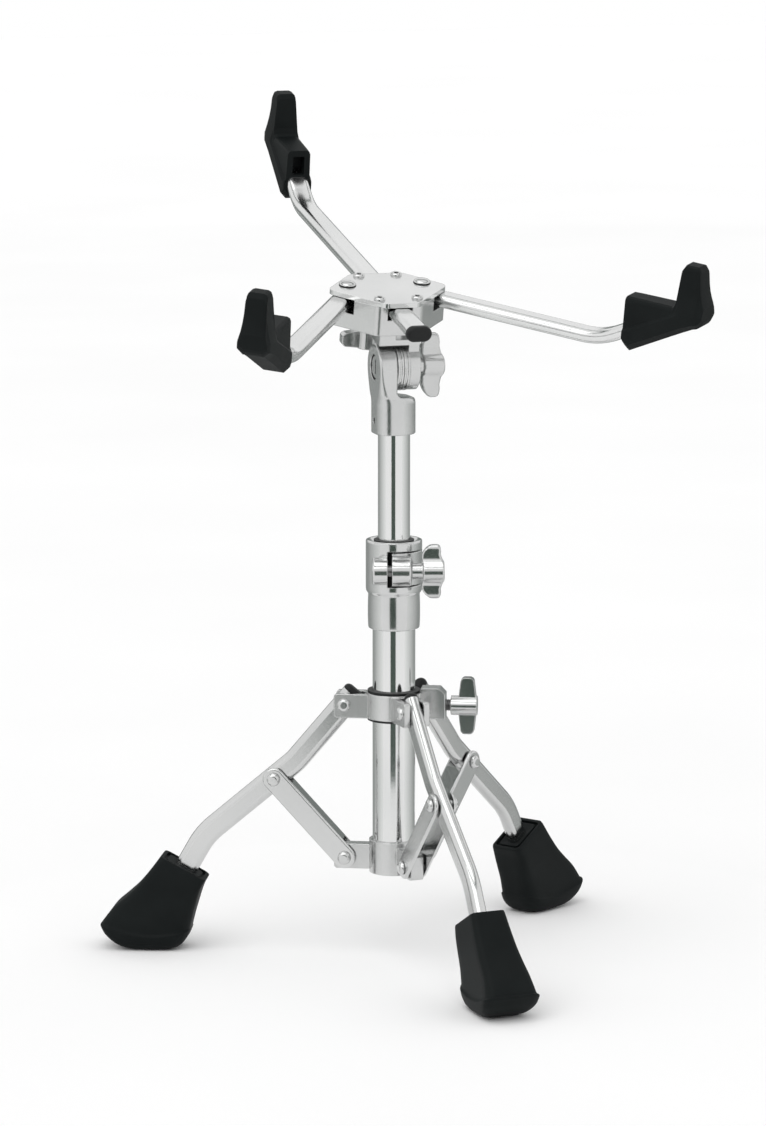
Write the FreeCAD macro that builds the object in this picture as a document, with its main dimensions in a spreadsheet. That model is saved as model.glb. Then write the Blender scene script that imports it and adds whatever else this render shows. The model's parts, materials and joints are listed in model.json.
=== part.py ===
import FreeCAD, Part
import math
import os

import Sketcher
from FreeCAD import Vector

# A snare drum stand, millimetres, +Z up, floor at z = 0 and the column on the Z axis.
# X runs along the tilt axis of the basket, towards its wing nut, and +Y points to the back.

# Driving dimensions, each written once.
SIZES = {
    # Column
    "base_tube_diameter": "25.4",
    "base_tube_wall": "1.6",
    "base_tube_length": "169",
    "upper_tube_diameter": "19.05",
    "upper_tube_wall": "1.5",
    "upper_tube_inside": "136.6",
    "upper_tube_show": "63.3",
    # Fits and gaps
    "running_fit": "0.05",
    "seat_gap": "0.3",
    "side_gap": "0.4",
    # Tripod: three legs, each on a collar pin and a stay pin
    "leg_azimuth": "155.8",
    "leg_width": "14",
    "leg_thickness": "8",
    "leg_wall": "1.2",
    "leg_top_reach": "7.2",
    "leg_kink_distance": "16",
    "leg_kink_radius": "30",
    "leg_mid_angle": "40.3",
    "leg_mid_length": "55.7",
    "leg_knee_radius": "45",
    "leg_foot_angle": "60.5",
    "leg_foot_length": "68.7",
    "leg_end_height": "10",
    "leg_cap_dome": "3.4",
    "leg_cap_round": "2.7",
    "link_length": "63",
    "fold_angle": "42.4",
    "pin_circle_radius": "29",
    "pin_diameter": "5",
    "pin_head_diameter": "8",
    "pin_head_height": "2.4",
    "pin_head_round": "2.2",
    # Stays, folded from strip into a channel
    "stay_width": "13.4",
    "stay_sheet": "1.8",
    "stay_gap": "1",
    "stay_fold_round": "1.2",
    "stay_web_from_leg": "8.8",
    "stay_web_from_lug": "8.8",
    # Lower collar
    "lower_collar_height": "19.7",
    "lower_collar_below_pin": "8.5",
    "lower_collar_wall": "2",
    "lower_lug_reach": "6.4",
    "lower_lug_above_pin": "8",
    "lower_lug_below_pin": "6.9",
    "lower_screw_diameter": "4",
    "lower_screw_head": "7",
    "lower_screw_head_height": "2",
    # Sliding leg collar
    "collar_height": "15.2",
    "collar_below_pin": "7.7",
    "collar_wall": "2.2",
    "collar_ear_thickness": "3.6",
    "collar_ear_reach": "6",
    "collar_ear_above_pin": "6.6",
    "collar_lug_reach": "31",
    "collar_lug_above_pin": "10.7",
    "collar_lug_slope": "3.5",
    "collar_corner": "1.2",
    "collar_lug_width": "11",
    "bushing_wall": "1.6",
    "bushing_flange": "1.4",
    "bushing_lip": "1.3",
    "collar_wing_azimuth": "-23",
    "collar_wing_span": "34",
    "collar_wing_start": "4",
    # Wing bolts and wing nuts
    "wing_bolt_diameter": "6",
    "wing_bolt_show": "3.2",
    "wing_hub_diameter": "11.6",
    "wing_nut_length": "18.6",
    "wing_root": "11.5",
    "wing_tip": "7.6",
    "wing_tip_round": "2.8",
    "wing_sheet": "5.6",
    # Rubber feet
    "foot_sole_length": "54",
    "foot_sole_width": "33",
    "foot_sole_height": "9.5",
    "foot_sole_ledge": "0.8",
    "foot_sole_shift": "1.7",
    "foot_contact_length": "24",
    "foot_contact_width": "19",
    "foot_contact_shift": "-7.5",
    "foot_roll_height": "4",
    "foot_roll_length": "38",
    "foot_roll_width": "27.4",
    "foot_roll_shift": "-2.9",
    "foot_waist_height": "30",
    "foot_waist_length": "47.5",
    "foot_waist_width": "27",
    "foot_waist_shift": "4.8",
    "foot_top_length": "28.5",
    "foot_top_width": "20",
    "foot_top_distance": "46.5",
    "foot_corner": "6",
    # Height clamp
    "clamp_azimuth": "-17",
    "clamp_sleeve_diameter": "31",
    "clamp_sleeve_length": "21.2",
    "clamp_collar_diameter": "33.4",
    "clamp_collar_height": "31.8",
    "clamp_split_width": "2.8",
    "clamp_split_shift": "-2.5",
    "clamp_barrel_diameter": "18",
    "clamp_barrel_left": "12.6",
    "clamp_barrel_right": "10.4",
    "clamp_bolt_drop": "16",
    "clamp_bolt_forward": "19",
    "clamp_bolt_diameter": "7",
    "clamp_bolt_head": "11.2",
    "clamp_bolt_head_height": "3.5",
    "clamp_wing_span": "32",
    "clamp_relief": "1.4",
    "clamp_relief_start": "5.6",
    "clamp_bushing_wall": "2.4",
    # Tilter
    "tilter_diameter": "25.4",
    "tilter_socket_depth": "16",
    "tilter_socket_length": "22",
    "tilter_pivot_height": "39.6",
    "tilter_ear_radius": "14",
    "tilter_ear_left": "12.4",
    "tilter_ear_thickness": "10.9",
    "tilter_foot_width": "13",
    "tilter_disc_thickness": "3.5",
    "tilter_disc_diameter": "28.6",
    "tilter_disc_groove": "0.6",
    "tilter_bolt_diameter": "8",
    "tilter_bolt_head": "13",
    "tilter_bolt_head_height": "3.2",
    "tilter_bolt_in_nut": "14",
    "tilter_slot_width": "2.2",
    "tilter_slot_length": "8.6",
    "tilter_slot_depth": "2",
    "tilter_bolt_recess": "4",
    "tilter_recess_diameter": "15",
    "tilter_wing_span": "38.6",
    "roll_pin_diameter": "3",
    "roll_pin_inset": "0.8",
    # Basket head
    "head_tilt": "12.1",
    "head_shift": "-8",
    "head_plate_height": "50.3",
    "head_plate_sheet": "2.8",
    "head_plate_forward": "3.2",
    "head_plate_half_length": "36.5",
    "head_plate_front": "30",
    "head_plate_front_flat": "20",
    "head_plate_back": "25.5",
    "head_plate_back_flat": "32",
    "head_plate_corner": "5",
    "head_block_bottom": "29.5",
    "head_block_front": "26.6",
    "head_block_front_flat": "26",
    "head_neck_bottom": "15.5",
    "head_neck_depth": "16",
    "head_neck_wall": "10",
    "head_neck_floor": "3.5",
    "head_ear_thickness": "6.5",
    "head_screw_across": "22.8",
    "head_screw_along": "42.8",
    "head_screw_diameter": "5",
    "head_screw_head": "6.6",
    "head_screw_head_height": "1.3",
    "rivet_spacing": "45.4",
    "rivet_along": "3",
    "rivet_diameter": "6",
    "rivet_head": "9.6",
    "rivet_head_height": "1.9",
    "rivet_head_round": "1.2",
    "arm_stop_front": "26",
    "arm_stop_back": "107",
    # Basket arms
    "arm_width": "14",
    "arm_thickness": "8",
    "arm_wall": "1.2",
    "arm_bend_radius": "45",
    "arm_bend_angle": "28",
    "arm_reach": "120",
    "arm_tip_length": "36",
    "arm_tail": "5.5",
    "arm_right_angle": "43",
    "arm_left_angle": "33.1",
    "slide_reach": "175",
    "slide_stub": "65",
    "slide_cap_length": "4",
    "slide_cap_rim": "0.6",
    "slide_cap_round": "2",
    # Rubber claws
    "claw_base_width": "17.4",
    "claw_inner": "16.5",
    "claw_seat_length": "31.5",
    "claw_seat_height": "30.4",
    "claw_post_length": "19.5",
    "claw_post_height": "24.8",
    "claw_post_lean": "3",
    "claw_top_width": "12",
    "claw_chin": "5",
    "claw_chin_drop": "0.8",
    "claw_heel_height": "22",
    # Basket arm lock
    "arm_lock_along": "31",
    "arm_lock_diameter": "6",
    "arm_lock_boss": "12",
    "arm_lock_boss_height": "5",
    "arm_lock_span": "32",
    "arm_lock_hub_top": "13",
    "arm_lock_hub_rise": "2.7",
}

# Values that follow from the driving dimensions.
DERIVED = {
    "knee_height": "=leg_end_height + leg_foot_length * sin(leg_foot_angle)",
    "stay_pin_height": "=knee_height + leg_mid_length * sin(leg_mid_angle)",
    "stay_pin_radius": "=pin_circle_radius + link_length * sin(fold_angle)",
    "lower_pin_height": "=stay_pin_height - link_length * cos(fold_angle)",
    "collar_pin_height": "=stay_pin_height + link_length * cos(fold_angle)",
    "kink_radius": "=stay_pin_radius - leg_kink_distance * cos(leg_mid_angle)",
    "kink_height": "=stay_pin_height + leg_kink_distance * sin(leg_mid_angle)",
    "leg_top_angle": "=atan2(collar_pin_height - kink_height; kink_radius - pin_circle_radius) / 1deg",
    "leg_top_radius": "=pin_circle_radius - leg_top_reach * cos(leg_top_angle)",
    "leg_top_height": "=collar_pin_height + leg_top_reach * sin(leg_top_angle)",
    "knee_radius": "=stay_pin_radius + leg_mid_length * cos(leg_mid_angle)",
    "leg_end_radius": "=knee_radius + leg_foot_length * cos(leg_foot_angle)",
    "fork_half": "=leg_thickness / 2 + side_gap",
    "stay_inside": "=leg_thickness / 2 + stay_gap",
    "stay_half": "=stay_inside + stay_sheet",
    "ear_half": "=fork_half + collar_ear_thickness",
    "pin_bore": "=pin_diameter + 2 * running_fit",
    "base_tube_bottom": "=lower_pin_height - lower_collar_below_pin",
    "base_tube_top": "=base_tube_bottom + base_tube_length",
    "clamp_bottom": "=base_tube_top - clamp_sleeve_length",
    "clamp_top": "=base_tube_top + clamp_collar_height",
    "clamp_bolt_height": "=clamp_top - clamp_bolt_drop",
    "tilter_bottom": "=clamp_top + upper_tube_show",
    "pivot_height": "=tilter_bottom + tilter_pivot_height",
    "bushing_bore": "=base_tube_diameter + 2 * running_fit",
    "bushing_diameter": "=bushing_bore + 2 * bushing_wall",
    "collar_bore": "=bushing_diameter + 2 * running_fit",
    "collar_diameter": "=collar_bore + 2 * collar_wall",
    "collar_bottom": "=collar_pin_height - collar_below_pin",
    "collar_top": "=collar_bottom + collar_height",
    "clamp_bushing_diameter": "=upper_tube_diameter + 2 * (running_fit + clamp_bushing_wall)",
    "disc_fixed_start": "=tilter_ear_thickness - tilter_ear_left",
    "disc_moving_start": "=disc_fixed_start + tilter_disc_thickness + seat_gap",
    "head_ear_start": "=disc_moving_start + tilter_disc_thickness",
    "head_ear_end": "=head_ear_start + head_ear_thickness",
    "arm_layer_top": "=head_plate_height - head_plate_sheet",
    "arm_layer_floor": "=arm_layer_top - arm_thickness - 2 * seat_gap",
    "arm_middle": "=arm_layer_floor + seat_gap + arm_thickness / 2",
    "arm_pocket_half": "=arm_width / 2 + side_gap",
}

doc = FreeCAD.newDocument("snare_drum_stand")
sheet = doc.addObject("Spreadsheet::Sheet", "Size")
for row, (alias, text) in enumerate({**SIZES, **DERIVED}.items(), start=1):
    sheet.set(f"A{row}", alias)
    sheet.set(f"B{row}", text)
    sheet.setAlias(f"B{row}", alias)
doc.recompute()

subparts = []


def number(formula):
    """The present value of a formula on the sheet."""
    return float(sheet.evalExpression(formula))


def add_body(label, placement=None):
    """A new sub-part, with its place given by a formula."""
    body = doc.addObject("PartDesign::Body", label)
    body.Label = label
    if placement:
        body.setExpression("Placement", placement)
    subparts.append(body)
    return body


def place(x="0", y="0", z="0", turn="0", axis="0; 0; 1"):
    """The formula of a placement: moved, and turned about one axis."""
    return f"placement(vector({x}; {y}; {z}); rotation(vector({axis}); {turn}))"


# Where the groups of pieces sit.
HEAD_TURN = "rotation(vector(1; 0; 0); Size.head_tilt)"
HEAD_PLACE = place(z="Size.pivot_height", axis="1; 0; 0", turn="Size.head_tilt")
CLAMP_PLACE = place(turn="Size.clamp_azimuth")
PIVOT_PLACE = place(z="Size.pivot_height")


def leg_place(index):
    """Leg frames: X points out along the leg, Z up from the floor."""
    return place(turn=f"Size.leg_azimuth + {120 * index}")


def in_head(x, y, z, turn="0"):
    """A frame carried by the tilted head, turned about the head's own upright axis."""
    offset = f"{HEAD_TURN} * vector({x}; {y}; {z})"
    turned = f"{HEAD_TURN} * rotation(vector(0; 0; 1); {turn})"
    return f"placement(vector(0; 0; Size.pivot_height) + {offset}; {turned})"


def sketch_on(body, plane, x="0", y="0", offset="0", lean=None, lean_axis="1; 0; 0"):
    """A sketch on an origin plane, moved and leaned by formulas."""
    sketch = body.newObject("Sketcher::SketchObject", f"{body.Name}_sketch")
    feature = next(item for item in body.Origin.OriginFeatures if item.Role == plane)
    sketch.AttachmentSupport = [(feature, "")]
    sketch.MapMode = "FlatFace"
    if lean or (x, y, offset) != ("0", "0", "0"):
        formula = place(x, y, offset, turn=lean or "0", axis=lean_axis)
        sketch.setExpression("AttachmentOffset", formula)
    return sketch


def pin_point(sketch, geometry, position, x, y):
    """Ties a point of the sketch to two formulas, measured from the sketch's origin."""
    for kind, formula in (("DistanceX", x), ("DistanceY", y)):
        constraint = Sketcher.Constraint(kind, -1, 1, geometry, position, number(formula))
        index = sketch.addConstraint(constraint)
        sketch.setExpression(f"Constraints[{index}]", formula)


def tie_size(sketch, kind, geometry, formula):
    """A radius or diameter bound to a formula."""
    index = sketch.addConstraint(Sketcher.Constraint(kind, geometry, number(formula)))
    sketch.setExpression(f"Constraints[{index}]", formula)


def circle(sketch, diameter, x="0", y="0"):
    shape = Part.Circle(Vector(number(x), number(y), 0), Vector(0, 0, 1), number(diameter) / 2)
    index = sketch.addGeometry(shape, False)
    tie_size(sketch, "Diameter", index, diameter)
    pin_point(sketch, index, 3, x, y)


def polygon(sketch, corners):
    """A closed outline of straight lines through corners given as pairs of formulas."""
    points = [Vector(number(x), number(y), 0) for x, y in corners]
    first = None
    for start, end in zip(points, points[1:] + points[:1]):
        index = sketch.addGeometry(Part.LineSegment(start, end), False)
        first = index if first is None else first
    count = len(corners)
    for step in range(count):
        after = first + (step + 1) % count
        sketch.addConstraint(Sketcher.Constraint("Coincident", first + step, 2, after, 1))
    for step, (x, y) in enumerate(corners):
        pin_point(sketch, first + step, 1, x, y)


def rectangle(sketch, x_low, x_high, y_low, y_high):
    polygon(sketch, [(x_low, y_low), (x_high, y_low), (x_high, y_high), (x_low, y_high)])


def blunt_end(sketch, x_low, x_high, y_low, y_high):
    """A rectangle with the two corners of its far end cut off."""
    corner = "Size.collar_corner"
    polygon(sketch, [
        (x_low, y_low), (f"{x_high} - {corner}", y_low), (x_high, f"{y_low} + {corner}"),
        (x_high, f"{y_high} - {corner}"), (f"{x_high} - {corner}", y_high), (x_low, y_high),
    ])


def arc_from(start, end, centre):
    """The shorter arc between two points round a centre, run anticlockwise."""
    if (start - centre).cross(end - centre).z < 0:
        start, end = end, start
    middle = (start + end) / 2 - centre
    bulge = centre + middle / middle.Length * (start - centre).Length
    return Part.Arc(start, bulge, end)


def flat_oval(sketch, width, thickness, upright):
    """The section of a flattened tube: two flats and two round edges, anticlockwise."""
    flat = f"(({width}) - ({thickness})) / 2"
    half = f"({thickness}) / 2"
    ends = [(half, f"-({flat})"), (half, flat), (f"-({half})", flat), (f"-({half})", f"-({flat})")]
    centres = [("0", flat), ("0", f"-({flat})")]
    if not upright:
        ends = [(y, f"-({x})") for x, y in ends]
        centres = [(y, "0") for x, y in centres]
    points = [Vector(number(x), number(y), 0) for x, y in ends]
    onward = (points[1] - points[0]).normalize() * number(half)
    shapes = [
        Part.LineSegment(points[0], points[1]),
        Part.Arc(points[1], (points[1] + points[2]) / 2 + onward, points[2]),
        Part.LineSegment(points[2], points[3]),
        Part.Arc(points[3], (points[3] + points[0]) / 2 - onward, points[0]),
    ]
    pieces = [sketch.addGeometry(shape, False) for shape in shapes]
    for piece, after in zip(pieces, pieces[1:] + pieces[:1]):
        sketch.addConstraint(Sketcher.Constraint("Coincident", piece, 2, after, 1))
    for line, pair in ((pieces[0], ends[:2]), (pieces[2], ends[2:])):
        for position, (x, y) in enumerate(pair, start=1):
            pin_point(sketch, line, position, x, y)
    kind = "DistanceY" if upright else "DistanceX"
    for arc, (x, y) in ((pieces[1], centres[0]), (pieces[3], centres[1])):
        formula = y if upright else x
        constraint = Sketcher.Constraint(kind, -1, 1, arc, 3, number(formula))
        index = sketch.addConstraint(constraint)
        sketch.setExpression(f"Constraints[{index}]", formula)


def bent_path(sketch, corners, radii):
    """An open path: straight runs between corners, with a tangent arc at each inner corner."""
    points = [Vector(number(x), number(y), 0) for x, y in corners]
    bends = []
    for before, corner, after, radius in zip(points, points[1:], points[2:], radii):
        inward = (before - corner).normalize()
        onward = (after - corner).normalize()
        half = inward.getAngle(onward) / 2
        reach = number(radius) / math.tan(half)
        centre = corner + (inward + onward).normalize() * (number(radius) / math.sin(half))
        bends.append((corner + inward * reach, corner + onward * reach, centre))
    starts = [points[0]] + [bend[1] for bend in bends]
    ends = [bend[0] for bend in bends] + [points[-1]]
    lines = []
    arcs = []
    for number_of_run, (start, end) in enumerate(zip(starts, ends)):
        lines.append(sketch.addGeometry(Part.LineSegment(start, end), False))
        if number_of_run < len(bends):
            arc = arc_from(*bends[number_of_run])
            arcs.append(sketch.addGeometry(arc, False))
    for step, (arc, radius) in enumerate(zip(arcs, radii)):
        start = bends[step][0]
        near = 1 if (sketch.Geometry[arc].StartPoint - start).Length < 1e-6 else 2
        sketch.addConstraint(Sketcher.Constraint("Tangent", lines[step], 2, arc, near))
        sketch.addConstraint(Sketcher.Constraint("Tangent", arc, 3 - near, lines[step + 1], 1))
        tie_size(sketch, "Radius", arc, radius)
        corner = sketch.addGeometry(Part.Point(points[step + 1]), True)
        pin_point(sketch, corner, 1, *corners[step + 1])
        for line in (lines[step], lines[step + 1]):
            sketch.addConstraint(Sketcher.Constraint("PointOnObject", corner, 1, line))
    pin_point(sketch, lines[0], 1, *corners[0])
    pin_point(sketch, lines[-1], 2, *corners[-1])


def pad(body, sketch, length, both=False, back=False):
    """Material along the sketch's normal, the other way round with back, or to both sides."""
    feature = body.newObject("PartDesign::Pad", f"{body.Name}_pad")
    feature.Profile = sketch
    feature.setExpression("Length", length)
    feature.SideType = "Symmetric" if both else "One side"
    feature.Reversed = back
    doc.recompute()
    return feature


def cut(body, sketch, length, both=False, ahead=False):
    """A pocket against the sketch's normal, along it with ahead, or to both sides."""
    before = body.Shape.Volume
    feature = body.newObject("PartDesign::Pocket", f"{body.Name}_cut")
    feature.Profile = sketch
    feature.setExpression("Length", length)
    feature.SideType = "Symmetric" if both else "One side"
    feature.Reversed = ahead
    doc.recompute()
    if body.Shape.Volume >= before - 1e-6:
        raise RuntimeError(f"{body.Label}: a cut took nothing away")
    return feature


def turned(body, outline):
    """A turned piece: an outline of (radius, height) formulas about the Z axis."""
    sketch = sketch_on(body, "XZ_Plane")
    polygon(sketch, outline)
    feature = body.newObject("PartDesign::Revolution", f"{body.Name}_turned")
    feature.Profile = sketch
    feature.ReferenceAxis = (sketch, ["V_Axis"])
    feature.Angle = 360
    doc.recompute()
    return feature


def swept(body, profile, spine):
    """A section carried along a path."""
    feature = body.newObject("PartDesign::AdditivePipe", f"{body.Name}_sweep")
    feature.Profile = profile
    feature.Spine = (spine, [])
    doc.recompute()
    return feature


def three_times(body, features, sketch):
    """The features again at the other two legs."""
    pattern = body.newObject("PartDesign::PolarPattern", f"{body.Name}_three")
    pattern.Originals = features
    pattern.Axis = (sketch, ["N_Axis"])
    pattern.Angle = 360
    pattern.Occurrences = 3
    body.Tip = pattern
    doc.recompute()
    return pattern


def round_edges(body, chosen, radius):
    """Rounds the edges of the present shape that the test picks out."""
    names = []
    base = body.Tip
    for index, edge in enumerate(base.Shape.Edges, start=1):
        if chosen(edge):
            names.append(f"Edge{index}")
    feature = body.newObject("PartDesign::Fillet", f"{body.Name}_round")
    feature.Base = (base, names)
    feature.setExpression("Radius", radius)
    doc.recompute()
    return feature


def runs_along(edge, direction):
    """True for a straight edge parallel to a direction."""
    if not isinstance(edge.Curve, Part.Line):
        return False
    return abs(abs(edge.Curve.Direction.dot(direction)) - 1) < 1e-6


def tube_along_z(label, diameter, wall, bottom, top):
    body = add_body(label)
    sketch = sketch_on(body, "XY_Plane", offset=bottom)
    circle(sketch, diameter)
    circle(sketch, f"{diameter} - 2 * {wall}")
    pad(body, sketch, f"({top}) - ({bottom})")
    return body


def pin_through(label, placement, x, z, half_length):
    """A pin along Y with a domed head at each end."""
    body = add_body(label, placement)
    sketch = sketch_on(body, "XZ_Plane", offset=f"-({half_length})")
    circle(sketch, "Size.pin_diameter", x, z)
    pad(body, sketch, f"2 * ({half_length})")
    for sign in ("", "-"):
        head = sketch_on(body, "XZ_Plane", offset=f"{sign}({half_length})")
        circle(head, "Size.pin_head_diameter", x, z)
        pad(body, head, "Size.pin_head_height", back=bool(sign))
    reach = number(f"{half_length} + Size.pin_head_height") - 1e-6
    round_edges(body, lambda edge: abs(edge.CenterOfMass.y) > reach, "Size.pin_head_round")
    return body


def wing(body, start, root, tip, span, sheet_thickness):
    """Two wings across an X axis, wide at the hub and narrow at the tips."""
    sketch = sketch_on(body, "XZ_Plane")
    reach = f"{span} / 2"
    inset = f"({root} - {tip}) / 2"
    near = f"{start} + {inset}"
    far = f"{start} + {root} - {inset}"
    end = f"{start} + {root}"
    polygon(sketch, [
        (near, f"-({reach})"), (far, f"-({reach})"), (end, "0"),
        (far, reach), (near, reach), (start, "0"),
    ])
    pad(body, sketch, sheet_thickness, both=True)
    tip_height = number(reach) - 1e-6
    across = Vector(0, 1, 0)
    tips = lambda edge: runs_along(edge, across) and abs(edge.CenterOfMass.z) > tip_height
    round_edges(body, tips, "Size.wing_tip_round")


def rod(body, diameter, start, end, y="0", z="0"):
    """A round bar along X, at (y, z) in the body's frame."""
    sketch = sketch_on(body, "YZ_Plane", offset=start)
    circle(sketch, diameter, y, z)
    return pad(body, sketch, f"({end}) - ({start})")


def drill(body, plane, diameter, depth, x="0", y="0"):
    """A round hole to both sides of an origin plane."""
    sketch = sketch_on(body, plane)
    circle(sketch, diameter, x, y)
    return cut(body, sketch, f"2 * ({depth})", both=True)


# Column: the base tube with its collar at the bottom, and the tube that slides in it.

FAR = "2 * Size.stay_pin_radius"
SCREW_AZIMUTH = "Size.leg_azimuth - 60"


def base_tube():
    body = tube_along_z("base_tube", "Size.base_tube_diameter", "Size.base_tube_wall",
                        "Size.base_tube_bottom", "Size.base_tube_top")
    hole = sketch_on(body, "YZ_Plane", y="Size.lower_pin_height",
                     lean=SCREW_AZIMUTH, lean_axis="0; 1; 0")
    circle(hole, "Size.lower_screw_diameter + 2 * Size.running_fit")
    cut(body, hole, "Size.base_tube_diameter", ahead=True)


def upper_tube():
    body = tube_along_z("upper_tube", "Size.upper_tube_diameter", "Size.upper_tube_wall",
                        "Size.clamp_top - Size.upper_tube_inside",
                        "Size.tilter_bottom + Size.tilter_socket_depth")
    drill(body, "YZ_Plane", "Size.roll_pin_diameter + 2 * Size.running_fit", "Size.upper_tube_diameter",
          y="Size.tilter_bottom + Size.tilter_socket_depth / 2")


def lower_collar():
    """A ring fixed on the tube, with a lug for each stay."""
    body = add_body("lower_collar", leg_place(0))
    bore = "Size.base_tube_diameter + 2 * Size.running_fit"
    ring = sketch_on(body, "XY_Plane", offset="Size.base_tube_bottom")
    circle(ring, f"{bore} + 2 * Size.lower_collar_wall")
    circle(ring, bore)
    pad(body, ring, "Size.lower_collar_height")
    hole = sketch_on(body, "YZ_Plane", y="Size.lower_pin_height", lean="-60", lean_axis="0; 1; 0")
    circle(hole, "Size.lower_screw_diameter + 2 * Size.running_fit")
    cut(body, hole, "Size.base_tube_diameter", ahead=True)
    pin_x = "Size.pin_circle_radius"
    pin_z = "Size.lower_pin_height"
    outline = sketch_on(body, "XZ_Plane")
    blunt_end(outline, f"({bore} + Size.lower_collar_wall) / 2", f"{pin_x} + Size.lower_lug_reach",
              f"{pin_z} - Size.lower_lug_below_pin", f"{pin_z} + Size.lower_lug_above_pin")
    lug = pad(body, outline, "Size.leg_thickness", both=True)
    hole = drill(body, "XZ_Plane", "Size.pin_bore", "Size.leg_thickness", pin_x, pin_z)
    three_times(body, [lug, hole], ring)


def lower_collar_screw():
    """The screw that holds the lower collar on the tube, between two legs."""
    body = add_body("lower_collar_screw", place(z="Size.lower_pin_height", turn=SCREW_AZIMUTH))
    outside = "Size.base_tube_diameter / 2 + Size.running_fit + Size.lower_collar_wall"
    rod(body, "Size.lower_screw_diameter", "Size.base_tube_diameter / 2 - Size.base_tube_wall", outside)
    rod(body, "Size.lower_screw_head", outside, f"{outside} + Size.lower_screw_head_height")


# Tripod

def leg(index):
    """A flat-oval tube, bent above the stay pin and again above the foot."""
    body = add_body(f"leg_{index + 1}", leg_place(index))
    spine = sketch_on(body, "XZ_Plane")
    bent_path(spine, [
        ("Size.leg_top_radius", "Size.leg_top_height"),
        ("Size.kink_radius", "Size.kink_height"),
        ("Size.knee_radius", "Size.knee_height"),
        ("Size.leg_end_radius", "Size.leg_end_height"),
    ], ["Size.leg_kink_radius", "Size.leg_knee_radius"])
    profile = sketch_on(body, "YZ_Plane", y="Size.leg_top_height", offset="Size.leg_top_radius",
                        lean="Size.leg_top_angle")
    flat_oval(profile, "Size.leg_width", "Size.leg_thickness", upright=True)
    flat_oval(profile, "Size.leg_width - 2 * Size.leg_wall", "Size.leg_thickness - 2 * Size.leg_wall",
              upright=True)
    swept(body, profile, spine)
    drill(body, "XZ_Plane", "Size.pin_bore", "Size.leg_thickness",
          "Size.pin_circle_radius", "Size.collar_pin_height")
    drill(body, "XZ_Plane", "Size.pin_bore", "Size.leg_thickness",
          "Size.stay_pin_radius", "Size.stay_pin_height")


def leg_cap(index):
    """The plastic plug in the upper end of a leg."""
    body = add_body(f"leg_cap_{index + 1}", leg_place(index))
    at_end = {"y": "Size.leg_top_height", "offset": "Size.leg_top_radius", "lean": "Size.leg_top_angle"}
    dome = sketch_on(body, "YZ_Plane", **at_end)
    flat_oval(dome, "Size.leg_width", "Size.leg_thickness", upright=True)
    pad(body, dome, "Size.leg_cap_dome", back=True)
    inside = "2 * (Size.leg_wall + Size.running_fit)"
    plug = sketch_on(body, "YZ_Plane", **at_end)
    flat_oval(plug, f"Size.leg_width - {inside}", f"Size.leg_thickness - {inside}", upright=True)
    pad(body, plug, "(Size.leg_top_reach - Size.pin_diameter / 2) / 2")
    slope = math.radians(number("Size.leg_top_angle"))
    along = Vector(-math.cos(slope), 0, math.sin(slope))
    end = Vector(number("Size.leg_top_radius"), 0, number("Size.leg_top_height"))
    reach = number("Size.leg_cap_dome") * 0.99
    round_edges(body, lambda edge: (edge.CenterOfMass - end).dot(along) > reach, "Size.leg_cap_round")


def stay_place(index):
    """Stay frames: Z runs from the lower pin to the leg pin, X points out and down."""
    turn = f"rotation(vector(0; 0; 1); Size.leg_azimuth + {120 * index})"
    foot = f"{turn} * vector(Size.pin_circle_radius; 0; Size.lower_pin_height)"
    return f"placement({foot}; {turn} * rotation(vector(0; 1; 0); Size.fold_angle))"


def stay(index):
    """A channel that straddles the leg, with its web on the column side, cut short at both pins."""
    body = add_body(f"stay_{index + 1}", stay_place(index))
    half = "Size.stay_width / 2"
    flank = sketch_on(body, "XZ_Plane")
    rectangle(flank, f"-{half}", half, "0", "Size.link_length")
    pad(body, flank, "2 * Size.stay_half", both=True)
    for height in ("0", "Size.link_length"):
        end = sketch_on(body, "XZ_Plane")
        circle(end, "Size.stay_width", "0", height)
        pad(body, end, "2 * Size.stay_half", both=True)
    behind = "-Size.stay_width"
    web_face = f"Size.stay_sheet - {half}"
    web_low = "Size.stay_web_from_lug"
    web_high = "Size.link_length - Size.stay_web_from_leg"
    above = "Size.link_length + Size.stay_width"
    channel = sketch_on(body, "XZ_Plane")
    polygon(channel, [
        (behind, behind), ("Size.stay_width", behind), ("Size.stay_width", above), (behind, above),
        (behind, web_high), (web_face, web_high), (web_face, web_low), (behind, web_low),
    ])
    cut(body, channel, "2 * Size.stay_inside", both=True)
    for height in ("0", "Size.link_length"):
        drill(body, "XZ_Plane", "Size.pin_bore", "Size.stay_width", "0", height)
    side = number("Size.stay_half") - 1e-6
    upright = Vector(0, 0, 1)
    folds = lambda edge: edge.CenterOfMass.x < 0 and abs(edge.CenterOfMass.y) > side
    round_edges(body, lambda edge: runs_along(edge, upright) and folds(edge), "Size.stay_fold_round")


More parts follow.
